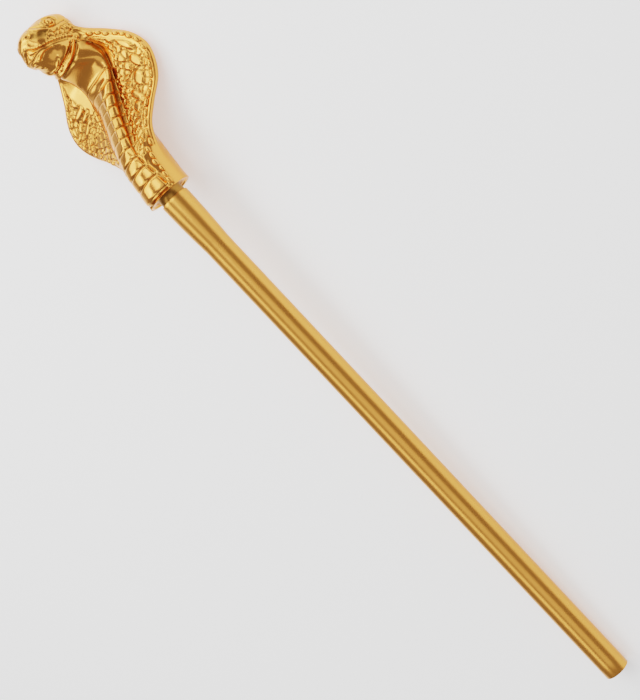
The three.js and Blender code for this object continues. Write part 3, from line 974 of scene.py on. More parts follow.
    def temples(self, net: Net, distances: dict[str, Array]) -> Array:
        """Works out the small wrinkled scales between the lip and the cheek.

        Args:
            net: The net.
            distances: The distance to each line of the face, by its name.

        Returns:
            The height of each knot.
        """
        wave = 0.8 * np.sin(net.ahead / 3.1)
        along_cheek = (net.ahead + 0.6 * net.up + wave) / self.temple_cell[0]
        up_cheek = (net.up - 0.5 * net.ahead + wave) / self.temple_cell[1]
        border, own, dx, dy = cobbles(along_cheek, up_cheek, self.temple_seed, 0.95)
        shape = mix(-1.0, 0.5 + 0.6 * own + 1.1 * (dx * (own - 0.4) + 0.6 * dy), ease(border / 0.17))
        behind = net.ahead + self.temple_middle
        above_lip = ease((net.up - (self.temple_low + 0.22 * behind)) / 1.5)
        below_cheek = ease(((self.temple_high - 0.12 * behind) - net.up) / 2)
        within = above_lip * below_cheek * ease((self.temple_front - net.ahead) / 4)
        within = within * ease((net.ahead - self.temple_back) / 6)
        clear = ease((distances["upper lip"] - 1.2) / 1.4) * ease((distances["cheek ridge"] - 1.0) / 1.4)
        return shape * within * clear

    def crown(self, net: Net) -> Array:
        """Works out the low shields on the top of the head.

        Args:
            net: The net.

        Returns:
            The height of each knot.
        """
        wide, high = self.crown_cell
        border = cobbles(net.left / wide + 0.5, (net.up - 0.6 * net.ahead) / high, self.crown_seed, 0.35)[0]
        shape = mix(-0.35, 0.25, ease(border / 0.1)) * net.on(Strip.BACK)
        shape = shape * ease((net.t - 0.3) / 0.15) * ease((net.s.place - 12.1) / 0.6)
        return shape * ease((15.4 - net.s.place) / 0.8)

    def throat(self, net: Net) -> Array:
        """Works out the faint creases of the smooth neck.

        Args:
            net: The net.

        Returns:
            The height of each knot.
        """
        spread = 0.25 * np.sin(net.up / 2.3 + net.side / 5) * bell(net.side - 24, 9)
        fade = ease((net.s.place - 8.3) / 0.4) * ease((10.2 - net.s.place) / 0.6)
        return spread * fade * (1 - net.on(Strip.BACK))

    def relief(self, net: Net) -> Array:
        """Adds all the carving up."""
        hood = self.bands(net) + self.lobes(net) + self.back(net)
        return hood + self.face(net) + self.crown(net) + self.throat(net)


@dataclass
class CobraHead:
    """The moulded cobra: hood, belly, neck, face, collar and the spigot under it."""

    form: CobraForm
    laying: Laying
    carving: Carving
    ribs: int = 148
    band_rows: int = 16
    face_rows: int = 146
    spigot_radius: float = 14.25
    spigot_length: float = 44.0
    spigot_taper: float = 0.9
    tube_top: float = -6.7
    lip_radius: float = 25.4
    lip_width: float = 3.2
    recess: float = 1.6
    # The next five set the painted shade: its spread on the wall and at the foot, its spread round the cheek
    # hollow, its strength on the hood, and the groove depth that gives full shade.
    wall_shade: float = 0.18
    foot_shade: float = 0.12
    hollow_shade: float = 5.0
    hood_shade: float = 0.8
    deep: float = 0.35
    net: Net = field(init=False)
    points: Array = field(init=False)

    def rows(self) -> Array:
        """Spaces the net's rows, closer at the bands' borders.

        Returns:
            The places of the rows, from the collar to the snout.
        """
        borders = self.form.borders()
        steps = np.arange(self.band_rows) / self.band_rows
        steps = steps - 0.35 * np.sin(2 * math.pi * steps) / (2 * math.pi)
        lip = np.array([0.0, 0.35, 0.6, 0.8, 0.93]) * self.form.lip_height
        heights = [lip]
        for low, high in zip(borders, borders[1:]):
            heights.append(low + (high - low) * steps)
        belly = self.form.place_of_belly(np.concatenate(heights))
        top = float(self.form.place_of_belly(borders[-1]))
        fine = np.linspace(top, self.form.last, 600)
        probe = self.form.net(fine, np.linspace(0, 1, 40), np.ones(40))
        steps = np.linalg.norm(np.diff(probe.point, axis=0), axis=-1).max(axis=1)
        steps = steps * mix(1.0, 1.35, ease((fine[1:] - 10) / 1.0))
        run = np.concatenate(([0.0], np.cumsum(steps)))
        face = np.interp(np.linspace(0, run[-1], self.face_rows), run, fine)
        return np.concatenate((belly, face))

    def build_net(self) -> None:
        """Lays the net, carves it and keeps the carved points."""
        left = np.linspace(0, 1, self.ribs + 1)
        share = np.concatenate((left, left[-2:0:-1]))
        hand = np.concatenate((np.ones(self.ribs + 1), -np.ones(self.ribs - 1)))
        net = self.form.net(self.rows(), share, hand)
        round_ = np.roll(net.point, -1, axis=1) - np.roll(net.point, 1, axis=1)
        onward = np.gradient(net.point, axis=0)
        normal = np.cross(round_, onward)
        normal /= np.maximum(np.linalg.norm(normal, axis=-1, keepdims=True), 1e-9)
        net.normal = normal
        net.relief = self.carving.relief(net)
        self.net = net
        self.points = net.point + normal * net.relief[..., None]

    def turned_ring(self, radius: float, x: float) -> Array:
        """Makes a round ring with a point beside each rib of the collar.

        Args:
            radius: The ring's radius.
            x: Its height along the sceptre.

        Returns:
            The ring's points.
        """
        start = self.net.point[0]
        turn = np.arctan2(start[:, 1], start[:, 2])
        return np.stack((np.full(len(turn), x), radius * np.sin(turn), radius * np.cos(turn)), axis=-1)

    def painted_shade(self) -> Array:
        """Works out the painted shade: how deep each knot lies below the carving round it.

        The belly's left wall, the foot of the left lobe and the cheek's hollow get painted shade too.

        Returns:
            The painted shade of each knot, up to 1, and below 0 where it stands out.
        """
        net = self.net
        relief = net.relief
        level = relief.copy()
        for _ in range(3):
            level = (np.roll(level, 1, 1) + level + np.roll(level, -1, 1)) / 3
            padded = np.vstack((level[:1], level, level[-1:]))
            level = (padded[:-2] + level + padded[2:]) / 3
        # Painted shade on the belly's left wall and at the foot of the left lobe, on the hood only, and round
        # the cheek's hollow.
        wall = self.hood_shade * bell(net.t - 1, self.wall_shade) * net.on(Strip.BELLY) * (net.hand > 0)
        foot = self.hood_shade * bell(net.t, self.foot_shade) * net.on(Strip.LOBE) * (net.hand > 0)
        cheek = self.carving.side_distance(net, smooth_path(HOLLOWS[0].path))[0]
        hollow = bell(cheek, self.hollow_shade)
        hood = ease((net.s.place - 2.5) / 1.0) * ease((10.6 - net.s.place) / 0.6)
        # Grooves get painted shade from how far they lie below the smoothed carving.
        return np.clip((level - relief) / self.deep + (wall + foot) * hood + hollow, -1, 1)

    def build(self, material: bpy.types.Material) -> bpy.types.Object:
        """Makes the cobra as one closed mesh.

        Args:
            material: The finish.

        Returns:
            The piece, in place.
        """
        inner = self.lip_radius - self.lip_width
        rings = [
            self.turned_ring(self.spigot_radius - self.spigot_taper, -self.spigot_length),
            self.turned_ring(self.spigot_radius, self.tube_top),
            self.turned_ring(self.spigot_radius, self.recess),
            self.turned_ring(inner - 0.4, self.recess),
            self.turned_ring(inner, self.recess - 0.4),
            self.turned_ring(inner + 0.2, 0.3),
            self.turned_ring(inner + 0.9, 0.0),
        ]
        rows = np.concatenate((np.stack(rings), self.points))
        count, width = rows.shape[:2]
        points = within_node(self.laying.place(rows.reshape(-1, 3)), "cobra_head")
        corner = np.arange(count * width).reshape(count, width)
        following = np.roll(corner, -1, axis=1)
        quads = np.stack((corner[:-1], following[:-1], following[1:], corner[1:]), axis=-1).reshape(-1, 4)
        ends = [corner[0][::-1].tolist(), corner[-1].tolist()]
        piece = mesh_object("cobra", points, quads.tolist() + ends, material)
        # Painted shade for the material: the recess values darken the grooves, the wall, the foot and the
        # cheek hollow, and paint the spigot's three rings fully dark.
        recess = np.concatenate((np.zeros((len(rings), width)), self.painted_shade())).reshape(-1)
        recess[: 3 * width] = 1.0
        add_values(piece.data, "recess", recess)
        return piece


class GroupSocket(Enum):
    """Kinds of sockets on a node group."""

    NUMBER = "NodeSocketFloat"
    COLOUR = "NodeSocketColor"
    SHAPE = "NodeSocketGeometry"
    FINISH = "NodeSocketMaterial"
    COUNT = "NodeSocketInt"


def add_input(tree: bpy.types.NodeTree, name: str, kind: GroupSocket, value: object = None) -> None:
    """Adds a named input to a node group.

    Args:
        tree: The node group.
        name: The input's name.
        kind: Its kind.
        value: Its value where nothing is joined to it, or None to leave it as it comes.
    """
    socket = tree.interface.new_socket(name=name, in_out="INPUT", socket_type=kind.value)
    if value is not None:
        socket.default_value = value


def add_output(tree: bpy.types.NodeTree, name: str, kind: GroupSocket) -> None:
    """Adds a named output to a node group."""
    tree.interface.new_socket(name=name, in_out="OUTPUT", socket_type=kind.value)


Feed = bpy.types.NodeSocket | float | tuple


@dataclass
class Wiring:
    """Short words for making and joining nodes in one tree."""

    tree: bpy.types.NodeTree

    def node(self, kind: str, **settings: object) -> bpy.types.Node:
        """Adds a node.

        Args:
            kind: The node's type.
            settings: Values for its properties.

        Returns:
            The node.
        """
        made = self.tree.nodes.new(kind)
        for name, value in settings.items():
            setattr(made, name, value)
        return made

    def join(self, source: bpy.types.NodeSocket, target: bpy.types.NodeSocket) -> None:
        """Links an output to an input."""
        self.tree.links.new(source, target)

    def feed(self, socket: bpy.types.NodeSocket, value: Feed) -> None:
        """Joins an output to an input, or gives the input a value.

        Args:
            socket: The input.
            value: The output or the value.
        """
        if isinstance(value, bpy.types.NodeSocket):
            self.join(value, socket)
        else:
            socket.default_value = value

    def maths(self, kind: str, *values: Feed, clamp: bool = False) -> bpy.types.NodeSocket:
        """Adds a Math node.

        Args:
            kind: Its operation.
            values: What feeds its inputs, as sockets or numbers.
            clamp: Whether the result is held between 0 and 1.

        Returns:
            The node's output.
        """
        made = self.node("ShaderNodeMath", operation=kind, use_clamp=clamp)
        for socket, value in zip(made.inputs, values):
            self.feed(socket, value)
        return made.outputs[0]

    def blend(self, share: Feed, first: Feed, second: Feed) -> bpy.types.NodeSocket:
        """Adds a colour Mix node.

        Args:
            share: How much of the second colour is in the mix.
            first: The first colour.
            second: The second colour.

        Returns:
            The node's output.
        """
        made = self.node("ShaderNodeMix", data_type="RGBA", clamp_factor=True)
        for index, value in ((0, share), (6, first), (7, second)):
            self.feed(made.inputs[index], value)
        return made.outputs[2]


def skin_and_shade_group() -> bpy.types.NodeTree:
    """Makes the shader group for the fine uneven skin of metallised plastic, with painted shade.

    Returns:
        A group with inputs Colour, the shade colour, the painted shade, Grain and Roughness,
        and outputs Colour, Roughness and Height.
    """
    tree = bpy.data.node_groups.new("MetallisedSkinAndPaintedShade", "ShaderNodeTree")
    add_input(tree, "Colour", GroupSocket.COLOUR, (0.8, 0.5, 0.15, 1))
    add_input(tree, "Shade Colour", GroupSocket.COLOUR, (0.2, 0.07, 0.005, 1))
    add_input(tree, "Painted Shade", GroupSocket.NUMBER, 0.0)
    add_input(tree, "Grain", GroupSocket.NUMBER, 1.0)
    add_input(tree, "Roughness", GroupSocket.NUMBER, 0.25)
    add_output(tree, "Colour", GroupSocket.COLOUR)
    add_output(tree, "Roughness", GroupSocket.NUMBER)
    add_output(tree, "Height", GroupSocket.NUMBER)
    w = Wiring(tree)
    given = w.node("NodeGroupInput")
    out = w.node("NodeGroupOutput")
    place = w.node("ShaderNodeTexCoord")
    broad, fine = (w.node("ShaderNodeTexNoise", noise_dimensions="3D") for _ in range(2))
    for noise, scale, detail in ((broad, 55.0, 3.0), (fine, 900.0, 2.0)):
        w.join(place.outputs["Object"], noise.inputs["Vector"])
        noise.inputs["Scale"].default_value = scale
        noise.inputs["Detail"].default_value = detail
    uneven = w.maths("MULTIPLY_ADD", broad.outputs["Fac"], 0.5, -0.25)
    # Painted shade: the recess attribute mixes the colour towards the shade colour in grooves and hollows,
    # and the broad noise adds a little uneven tone.
    held = w.maths("MAXIMUM", given.outputs["Painted Shade"], 0.0, clamp=True)
    tone_and_painted_shade = w.maths("MULTIPLY_ADD", held, 0.85, w.maths("MULTIPLY", uneven, 0.3), clamp=True)
    rough = w.maths("MULTIPLY_ADD", uneven, 0.12, given.outputs["Roughness"])
    w.join(w.blend(tone_and_painted_shade, given.outputs["Colour"], given.outputs["Shade Colour"]), out.inputs["Colour"])
    w.join(w.maths("MULTIPLY_ADD", held, 0.15, rough), out.inputs["Roughness"])
    w.join(w.maths("MULTIPLY", fine.outputs["Fac"], given.outputs["Grain"]), out.inputs["Height"])
    return tree


@dataclass(frozen=True)
class GoldFinish:
    """One gold finish of metallised plastic.

    Colour is its face and its second colour is the painted shade in its grooves and hollows, grain is how
    high its fine skin is and bump how strongly that skin shows.
    """

    name: str
    colour: Point3
    shade_colour: Point3
    roughness: float
    bump: float
    grain: float = 1.0
    bump_distance: float = 0.0003

    def build(self, skin: bpy.types.NodeTree) -> bpy.types.Material:
        """Makes the material.

        Args:
            skin: The shader group for metallised plastic, which also mixes in the painted shade.

        Returns:
            The material.
        """
        material = bpy.data.materials.new(self.name)
        material.use_nodes = True
        w = Wiring(material.node_tree)
        shader = material.node_tree.nodes["Principled BSDF"]
        group = w.node("ShaderNodeGroup")
        group.node_tree = skin
        group.inputs["Colour"].default_value = (*self.colour, 1)
        group.inputs["Shade Colour"].default_value = (*self.shade_colour, 1)
        group.inputs["Grain"].default_value = self.grain
        group.inputs["Roughness"].default_value = self.roughness
        recess = w.node("ShaderNodeAttribute", attribute_name="recess")
        w.join(recess.outputs["Fac"], group.inputs["Painted Shade"])
        bump = w.node("ShaderNodeBump")
        bump.inputs["Strength"].default_value = self.bump
        bump.inputs["Distance"].default_value = self.bump_distance
        w.join(group.outputs["Height"], bump.inputs["Height"])
        w.join(bump.outputs["Normal"], shader.inputs["Normal"])
        w.join(group.outputs["Colour"], shader.inputs["Base Color"])
        w.join(group.outputs["Roughness"], shader.inputs["Roughness"])
        shader.inputs["Metallic"].default_value = 1.0
        return material


# The second colour of each finish is painted shade, mixed in where the recess attribute is high.
HEAD_GOLD = GoldFinish("head_gold", (0.85, 0.365, 0.1), (0.3, 0.16, 0.045), 0.17, 0.12)
SHAFT_GOLD = GoldFinish("shaft_gold", (0.82, 0.375, 0.105), (0.12, 0.045, 0.004), 0.28, 0.15)


SOFT_BOXES = (
    ("key", (1.87, -0.28, 0.75), (1.95, 1.3), 13.5),
    ("side", (1.2, 0.85, 1.4), (1.9, 0.9), 11),
    ("top", (-0.15, 0.85, 1.9), (2.8, 0.8), 9),
    ("fill", (0.0, -1.0, 1.8), (3.2, 1.5), 8.5),
    ("low side", (0.95, 1.6, 0.3), (1.8, 0.5), 0.9),
    ("front", (0.9, -0.5, 1.75), (1.0, 0.9), 4.5),
)
WORLD_STRENGTH = 0.28


@dataclass
class Studio:
    """The pale floor, the soft lights and the camera of the photograph's view."""

    laying: Laying
    aim_up: float = -216.5
    aim_across: float = -2.1
    camera_away: float = 1250.0
    camera_turn: float = 40.5
    photo_high: float = 700.0
    axis_right: float = -0.68484
    axis_up: float = 0.72870
    sensor: float = 36.0
    floor_half: float = 6.0
    floor_shade: float = 0.93
    floor_glow: float = 0.4

    def aim(self) -> Array:
        """Returns the point on the tube's axis in the middle of the view."""
        return self.laying.place(np.array([[self.aim_up, 0.0, 0.0]]))[0]

    def camera(self) -> None:
        """Sets the camera up."""
        turn = math.radians(self.camera_turn)
        up = self.laying.turn(np.array([1.0, 0.0, 0.0]))
        towards = self.laying.turn(np.array([0.0, -math.sin(turn), math.cos(turn)]))
        sideways = self.laying.turn(np.array([0.0, math.cos(turn), math.sin(turn)]))
        across = np.cross(towards, up)
        right = self.axis_right * up - self.axis_up * across
        above = self.axis_up * up + self.axis_right * across
        frame = Matrix(np.column_stack((right, above, towards)).tolist()).to_4x4()
        shift = towards * self.camera_away + sideways * self.aim_across
        frame.translation = Vector(self.aim() + shift * MM)
        data = bpy.data.cameras.new("camera")
        data.sensor_fit = "AUTO"
        data.sensor_width = self.sensor
        data.lens = self.sensor * self.camera_away / self.photo_high
        camera = bpy.data.objects.new("camera", data)
        camera.matrix_world = frame
        bpy.context.scene.collection.objects.link(camera)
        bpy.context.scene.camera = camera

    def light(self, name: str, at: Point3, size: tuple[float, float], power: float) -> None:
        """Adds a soft box light that shines at the middle of the sceptre.

        Args:
            name: The light's name.
            at: Its place in metres from the middle of the sceptre.
            size: Its width and height in metres.
            power: Its power in watts.
        """
        data = bpy.data.lights.new(name, "AREA")
        data.shape = "RECTANGLE"
        data.size, data.size_y = size
        data.energy = power
        lamp = bpy.data.objects.new(name, data)
        lamp.location = Vector(at)
        lamp.rotation_euler = (-Vector(at)).to_track_quat("-Z", "Y").to_euler()
        bpy.context.scene.collection.objects.link(lamp)

    def floor(self) -> None:
        """Adds the pale floor."""
        half = self.floor_half
        material = bpy.data.materials.new("pale_floor")
        material.use_nodes = True
        shader = material.node_tree.nodes["Principled BSDF"]
        shader.inputs["Base Color"].default_value = (*[self.floor_shade] * 3, 1)
        shader.inputs["Roughness"].default_value = 0.9
        shader.inputs["Emission Color"].default_value = (1, 1, 1, 1)
        shader.inputs["Emission Strength"].default_value = self.floor_glow
        corners = np.array([[-half, -half, 0], [half, -half, 0], [half, half, 0], [-half, half, 0]])
        mesh_object("floor", corners, [[0, 1, 2, 3]], material)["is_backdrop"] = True

    def world(self, strength: float) -> None:
        """Sets the even light of the room.

        Args:
            strength: The brightness of the white world.
        """
        world = bpy.data.worlds.new("studio")
        world.use_nodes = True
        back = world.node_tree.nodes["Background"]
        back.inputs["Color"].default_value = (1, 1, 1, 1)
        back.inputs["Strength"].default_value = strength
        bpy.context.scene.world = world


def grow(piece: bpy.types.Object, tree: bpy.types.NodeTree, values: dict[str, object]) -> None:
    """Runs a Geometry Nodes tree on a piece and keeps the result as its plain mesh.

    Args:
        piece: The piece, whose mesh is the tree's input.
        tree: The Geometry Nodes tree.
        values: A value for each of the tree's named inputs.
    """
    modifier = piece.modifiers.new("grow", "NODES")
    modifier.node_group = tree
    for socket in tree.interface.items_tree:
        if socket.name in values and socket.in_out == "INPUT":
            modifier[socket.identifier] = values[socket.name]
    ready = piece.evaluated_get(bpy.context.evaluated_depsgraph_get())
    mesh = bpy.data.meshes.new_from_object(ready)
    piece.modifiers.remove(modifier)
    piece.data = mesh


def finish_tree(w: Wiring, shape: bpy.types.NodeSocket, given: bpy.types.Node) -> None:
    """Ends a Geometry Nodes tree: real geometry, smooth, with the finish on it.

    Args:
        w: The tree's wiring.
        shape: The output with the shape.
        given: The tree's input node, with an output named Finish.
    """
    real = w.node("GeometryNodeRealizeInstances")
    smooth = w.node("GeometryNodeSetShadeSmooth")
    finish = w.node("GeometryNodeSetMaterial")
    out = w.node("NodeGroupOutput")
    w.join(shape, real.inputs["Geometry"])
    w.join(real.outputs["Geometry"], smooth.inputs["Geometry"])
    w.join(smooth.outputs["Geometry"], finish.inputs["Geometry"])
    w.join(given.outputs["Finish"], finish.inputs["Material"])
    w.join(finish.outputs["Geometry"], out.inputs["Geometry"])


@dataclass
class TurnedTube:
    """The plastic tube, with its belled top, as a wall's outline turned by Geometry Nodes."""

    laying: Laying
    top: float = -6.7
    tail: float = -652.7
    rim_radius: float = 16.1
    radius: float = 14.1
    tail_radius: float = 13.6
    bell_length: float = 62.0
    wall: float = 1.5
    edge: float = 0.35
    base_radius: float = 10.0
    sides: int = 160
    bell_steps: int = 16
    length_steps: int = 39

    def outline(self) -> Array:
        """Draws the wall's closed outline, with rounded edges.

        Returns:
            Points as (up, radius).
        """
        outside = [(self.top - self.bell_length * t, mix(self.rim_radius, self.radius, t * t))
                   for t in np.linspace(0, 1, self.bell_steps + 1)[1:]]
        start = outside[-1][0]
        outside += [(mix(start, self.tail + self.edge, t), mix(self.radius, self.tail_radius, t))
                    for t in np.linspace(0, 1, self.length_steps + 1)[1:]]
        slack = 0.3 * self.edge
        top_edge = [(self.top, self.rim_radius - self.edge), (self.top - slack, self.rim_radius - slack),
                    (self.top - self.edge, self.rim_radius)]
        tail_edge = [(self.tail + slack, self.tail_radius - slack), (self.tail, self.tail_radius - self.edge)]
        inside = [(up, radius - self.wall) for up, radius in outside][::-1]
        inner_tail = [(self.tail, self.tail_radius - self.wall + slack)]
        bore = self.rim_radius - self.wall
        inner_top = [(self.top - slack, bore), (self.top, bore + slack)]
        return np.array([*top_edge, *outside, *tail_edge, *inner_tail, *inside, *inner_top])

    def tree(self) -> bpy.types.NodeTree:
        """Makes the Geometry Nodes tree that turns an outline round an axis.

        Returns:
            A tree with inputs Geometry, Sides, Base Radius and Finish.
        """
        tree = bpy.data.node_groups.new("TurnOutline", "GeometryNodeTree")
        add_input(tree, "Geometry", GroupSocket.SHAPE)
        add_input(tree, "Sides", GroupSocket.COUNT, 64)
        add_input(tree, "Base Radius", GroupSocket.NUMBER, 10.0)
        add_input(tree, "Finish", GroupSocket.FINISH)
        add_output(tree, "Geometry", GroupSocket.SHAPE)
        w = Wiring(tree)
        given = w.node("NodeGroupInput")
        outline = w.node("GeometryNodeMeshToCurve")
        circle = w.node("GeometryNodeCurvePrimitiveCircle")
        turned = w.node("GeometryNodeCurveToMesh")
        w.join(given.outputs["Geometry"], outline.inputs["Mesh"])
        w.join(given.outputs["Sides"], circle.inputs["Resolution"])
        w.join(given.outputs["Base Radius"], circle.inputs["Radius"])
        w.join(circle.outputs["Curve"], turned.inputs["Curve"])
        w.join(outline.outputs["Curve"], turned.inputs["Profile Curve"])
        finish_tree(w, turned.outputs["Mesh"], given)
        return tree

    def build(self, material: bpy.types.Material) -> bpy.types.Object:
        """Turns the outline round the axis and lays the tube down.

        Args:
            material: The finish.

        Returns:
            The piece, in place.
        """
        outline = self.outline()
        flat = np.stack((outline[:, 1] - self.base_radius, -outline[:, 0], np.zeros(len(outline))), axis=-1)
        loop = tuple((i, (i + 1) % len(flat)) for i in range(len(flat)))
        piece = mesh_object("tube", flat, [], material, loop)
        grow(piece, self.tree(), {"Sides": self.sides, "Base Radius": self.base_radius, "Finish": material})
        x, y, z = mesh_points(piece.data).T
        placed = self.laying.place(np.stack((z, y, -x), axis=-1))
        move_points(piece.data, within_node(placed, "shaft"))
        return piece


@dataclass
class BeadRow:
    """Raised beads on the cobra's skin, set by Geometry Nodes on points.

    Spots are places in the sceptre's frame, ways the direction of each bead's length, outs the
    way out of the skin, and sizes each bead's half length, half width and height.
    """

    name: str
    laying: Laying
    spots: list[Array] = field(default_factory=list)
    ways: list[Array] = field(default_factory=list)
    outs: list[Array] = field(default_factory=list)
    sizes: list[Point3] = field(default_factory=list)
    seed: int = 4

    def add(self, spot: Array, way: Array, out: Array, size: Point3) -> None:
        """Adds one bead.

        Args:
            spot: Its place.
            way: The direction of its length.
            out: The way out of the skin.
            size: Its half length, half width and height.
        """
        self.spots.append(spot)
        self.ways.append(way)
        self.outs.append(out)
        self.sizes.append(size)

    def tree(self) -> bpy.types.NodeTree:
        """Makes the Geometry Nodes tree that puts a bead on every point.

        Returns:
            A tree with inputs Geometry, Least Size, Most Size, Seed and Finish.
        """
        tree = bpy.data.node_groups.new("SetBeads", "GeometryNodeTree")
        add_input(tree, "Geometry", GroupSocket.SHAPE)
        add_input(tree, "Least Size", GroupSocket.NUMBER, 0.9)
        add_input(tree, "Most Size", GroupSocket.NUMBER, 1.08)
        add_input(tree, "Seed", GroupSocket.COUNT, 1)
        add_input(tree, "Finish", GroupSocket.FINISH)
        add_output(tree, "Geometry", GroupSocket.SHAPE)
        w = Wiring(tree)
        given = w.node("NodeGroupInput")
        bead = w.node("GeometryNodeMeshIcoSphere")
        bead.inputs["Radius"].default_value = 1.0
        bead.inputs["Subdivisions"].default_value = 3
        turn, size = (w.node("GeometryNodeInputNamedAttribute", data_type="FLOAT_VECTOR") for _ in range(2))
        turn.inputs["Name"].default_value = "turn"
        size.inputs["Name"].default_value = "size"
        chance = w.node("FunctionNodeRandomValue", data_type="FLOAT")
        scaled = w.node("ShaderNodeVectorMath", operation="SCALE")
        placed = w.node("GeometryNodeInstanceOnPoints")
        w.join(given.outputs["Least Size"], chance.inputs[2])
        w.join(given.outputs["Most Size"], chance.inputs[3])
        w.join(given.outputs["Seed"], chance.inputs["Seed"])
        w.join(size.outputs[0], scaled.inputs[0])
        w.join(chance.outputs[1], scaled.inputs["Scale"])
        w.join(given.outputs["Geometry"], placed.inputs["Points"])
        w.join(bead.outputs["Mesh"], placed.inputs["Instance"])
        w.join(turn.outputs[0], placed.inputs["Rotation"])
        w.join(scaled.outputs[0], placed.inputs["Scale"])
        finish_tree(w, placed.outputs["Instances"], given)
        return tree

    def build(self, material: bpy.types.Material) -> bpy.types.Object:
        """Sets the beads and makes them one piece.

        Args:
            material: The finish.

        Returns:
            The piece, in place.
        """
        points = self.laying.place(np.array(self.spots))
        turns = []
        for way, out in zip(self.ways, self.outs):
            z = Vector(self.laying.turn(out)).normalized()
            x = Vector(self.laying.turn(way))
            x = (x - z * x.dot(z)).normalized()
            turns.append(Matrix(np.column_stack((x, z.cross(x), z)).tolist()).to_euler())
        piece = mesh_object(self.name, points, [], material)
        for name, rows in (("turn", np.array(turns)), ("size", np.array(self.sizes) * MM)):
            layer = piece.data.attributes.new(name, "FLOAT_VECTOR", "POINT")
            layer.data.foreach_set("vector", rows.astype(np.float32).reshape(-1))
        grow(piece, self.tree(), {"Seed": self.seed, "Finish": material})
        move_points(piece.data, within_node(mesh_points(piece.data), "cobra_head"))
        return piece


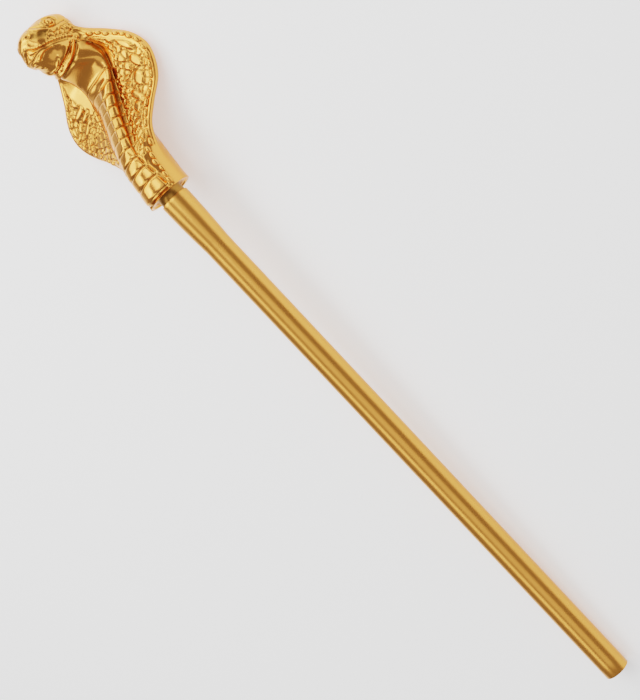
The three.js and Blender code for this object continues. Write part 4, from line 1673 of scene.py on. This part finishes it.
@dataclass
class Trimmings:
    """The rows of raised plates and pearls: hood edge, neck and jaw."""

    head: CobraHead
    plate: Point3 = (4.6, 2.8, 2.5)
    plate_step: float = 9.2
    right_sink: float = 1.1
    pearl: float = 1.35
    pearl_rise: float = 0.4
    left_jaw: float = 2.5
    other_side: float = 99.0
    path_points: int = 240
    knot: Point3 = (4.2, 2.6, 2.2)

    def nearest(self, hand: Hand, target: Array) -> tuple[Array, Array, Array]:
        """Finds the carved point nearest to a place.

        Args:
            hand: The side it lies on.
            target: The place.

        Returns:
            The point, its normal and the way up beside it.
        """
        net = self.head.net
        away = np.linalg.norm(net.point - target, axis=-1) + self.other_side * (net.hand != hand.value)
        row, rib = np.unravel_index(int(np.argmin(away)), away.shape)
        onward = net.point[min(row + 1, len(net.point) - 1), rib] - net.point[max(row - 1, 0), rib]
        return self.head.points[row, rib], net.normal[row, rib], onward

    def edge_path(self, hand: Hand, marks: tuple[tuple[float, float], ...]) -> Array:
        """Draws a path along the hood's edge.

        Args:
            hand: The side.
            marks: For each mark, its place and how far in from the edge it lies.

        Returns:
            Points on the path.
        """
        form = self.head.form
        marks_place, marks_in = np.array(marks).T
        places = np.linspace(marks_place[0], marks_place[-1], self.path_points)
        inward = np.interp(places, marks_place, marks_in)
        places = places.reshape(-1, 1)
        s = form.sections(places)
        ends = form.shares(places)
        inward = inward.reshape(-1, 1)
        round_ = math.pi * form.rim_half
        on_rim = np.clip(0.5 - inward / round_, 0, 0.5)
        on_lobe = np.clip((inward - round_ / 2) / (s.half - form.rim_half - s.column), 0, 1)
        share = np.where(on_lobe > 0, mix(ends[1], ends[0], on_lobe), mix(ends[1], ends[2], on_rim))
        return form.lay(s, share, np.full((1, 1), float(hand.value)), ends)[3][:, 0]

    def edges(self) -> BeadRow:
        """Sets out the plates along both edges of the hood.

        Returns:
            The row, ready to build.
        """
        row = BeadRow("hood_edge_plates", self.head.laying)
        for hand, marks in ((Hand.LEFT, LEFT_EDGE), (Hand.RIGHT, RIGHT_EDGE)):
            path = self.edge_path(hand, marks)
            run = np.concatenate(([0.0], np.cumsum(np.linalg.norm(np.diff(path, axis=0), axis=-1))))
            count = int(run[-1] / self.plate_step)
            for k in range(count + 1):
                at = run[-1] * k / count
                before, target, after = (
                    np.array([np.interp(there, run, path[:, axis]) for axis in range(3)])
                    for there in (at - 1, at, at + 1))
                spot, out, _ = self.nearest(hand, target)
                sunk = 0.0 if hand is Hand.LEFT else self.right_sink
                row.add(spot - sunk * out, after - before, out, self.plate)
        return row

    def knots(self) -> BeadRow:
        """Sets out the knobbly scales down the neck's left side and the pearls under the jaw.

        Returns:
            The row, ready to build.
        """
        row = BeadRow("neck_and_jaw_beads", self.head.laying, seed=9)
        for left, up, ahead in NECK_KNOTS:
            spot, out, onward = self.nearest(Hand.LEFT, np.array([up, -left, ahead]))
            row.add(spot, onward, out, self.knot)
        for left, up, ahead in JAW_PEARLS:
            hand = Hand.LEFT if left > self.left_jaw else Hand.RIGHT
            spot, out, onward = self.nearest(hand, np.array([up, -left, ahead]))
            row.add(spot + self.pearl_rise * out, onward, out, (self.pearl, self.pearl, self.pearl))
        return row


def report_piece(piece: bpy.types.Object) -> None:
    """Says what a piece is and how many triangles it has."""
    piece.data.calc_loop_triangles()
    log.info("%s: %d triangles", piece.name, len(piece.data.loop_triangles))


def dress(piece: bpy.types.Object, slot: str, *nodes: str) -> None:
    """Puts a piece on the frame.

    Args:
        piece: The piece.
        slot: The material slot that it wears; not used.
        nodes: The CAD nodes that it takes the place of, if any.
    """
    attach(piece, "root")
    if nodes:
        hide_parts(*nodes)
    report_piece(piece)


def main() -> None:
    """Builds the sceptre and the studio round it."""
    logging.basicConfig(level=logging.INFO, format="%(name)s: %(message)s")
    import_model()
    cad_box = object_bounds()
    form = CobraForm()
    laying = Laying()
    laying.settle(form)

    studio = Studio(laying)
    studio.camera()
    studio.floor()
    studio.world(WORLD_STRENGTH)
    for soft_box in SOFT_BOXES:
        studio.light(*soft_box)
    view = bpy.context.scene.view_settings
    view.view_transform = "Filmic"
    view.look = "High Contrast"

    skin = skin_and_shade_group()
    head_gold = HEAD_GOLD.build(skin)
    shaft_gold = SHAFT_GOLD.build(skin)

    head = CobraHead(form, laying, Carving(form))
    head.build_net()
    dress(head.build(head_gold), "head_gold", "cobra_head")
    dress(TurnedTube(laying).build(shaft_gold), "shaft_gold", "shaft")
    trimmings = Trimmings(head)
    dress(trimmings.edges().build(head_gold), "head_gold")
    dress(trimmings.knots().build(head_gold), "head_gold")

    boxes = {"cad": cad_box, "visual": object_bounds()}
    boxes = {name: [list(map(float, corner)) for corner in box] for name, box in boxes.items()}


if __name__ == "__main__":
    main()
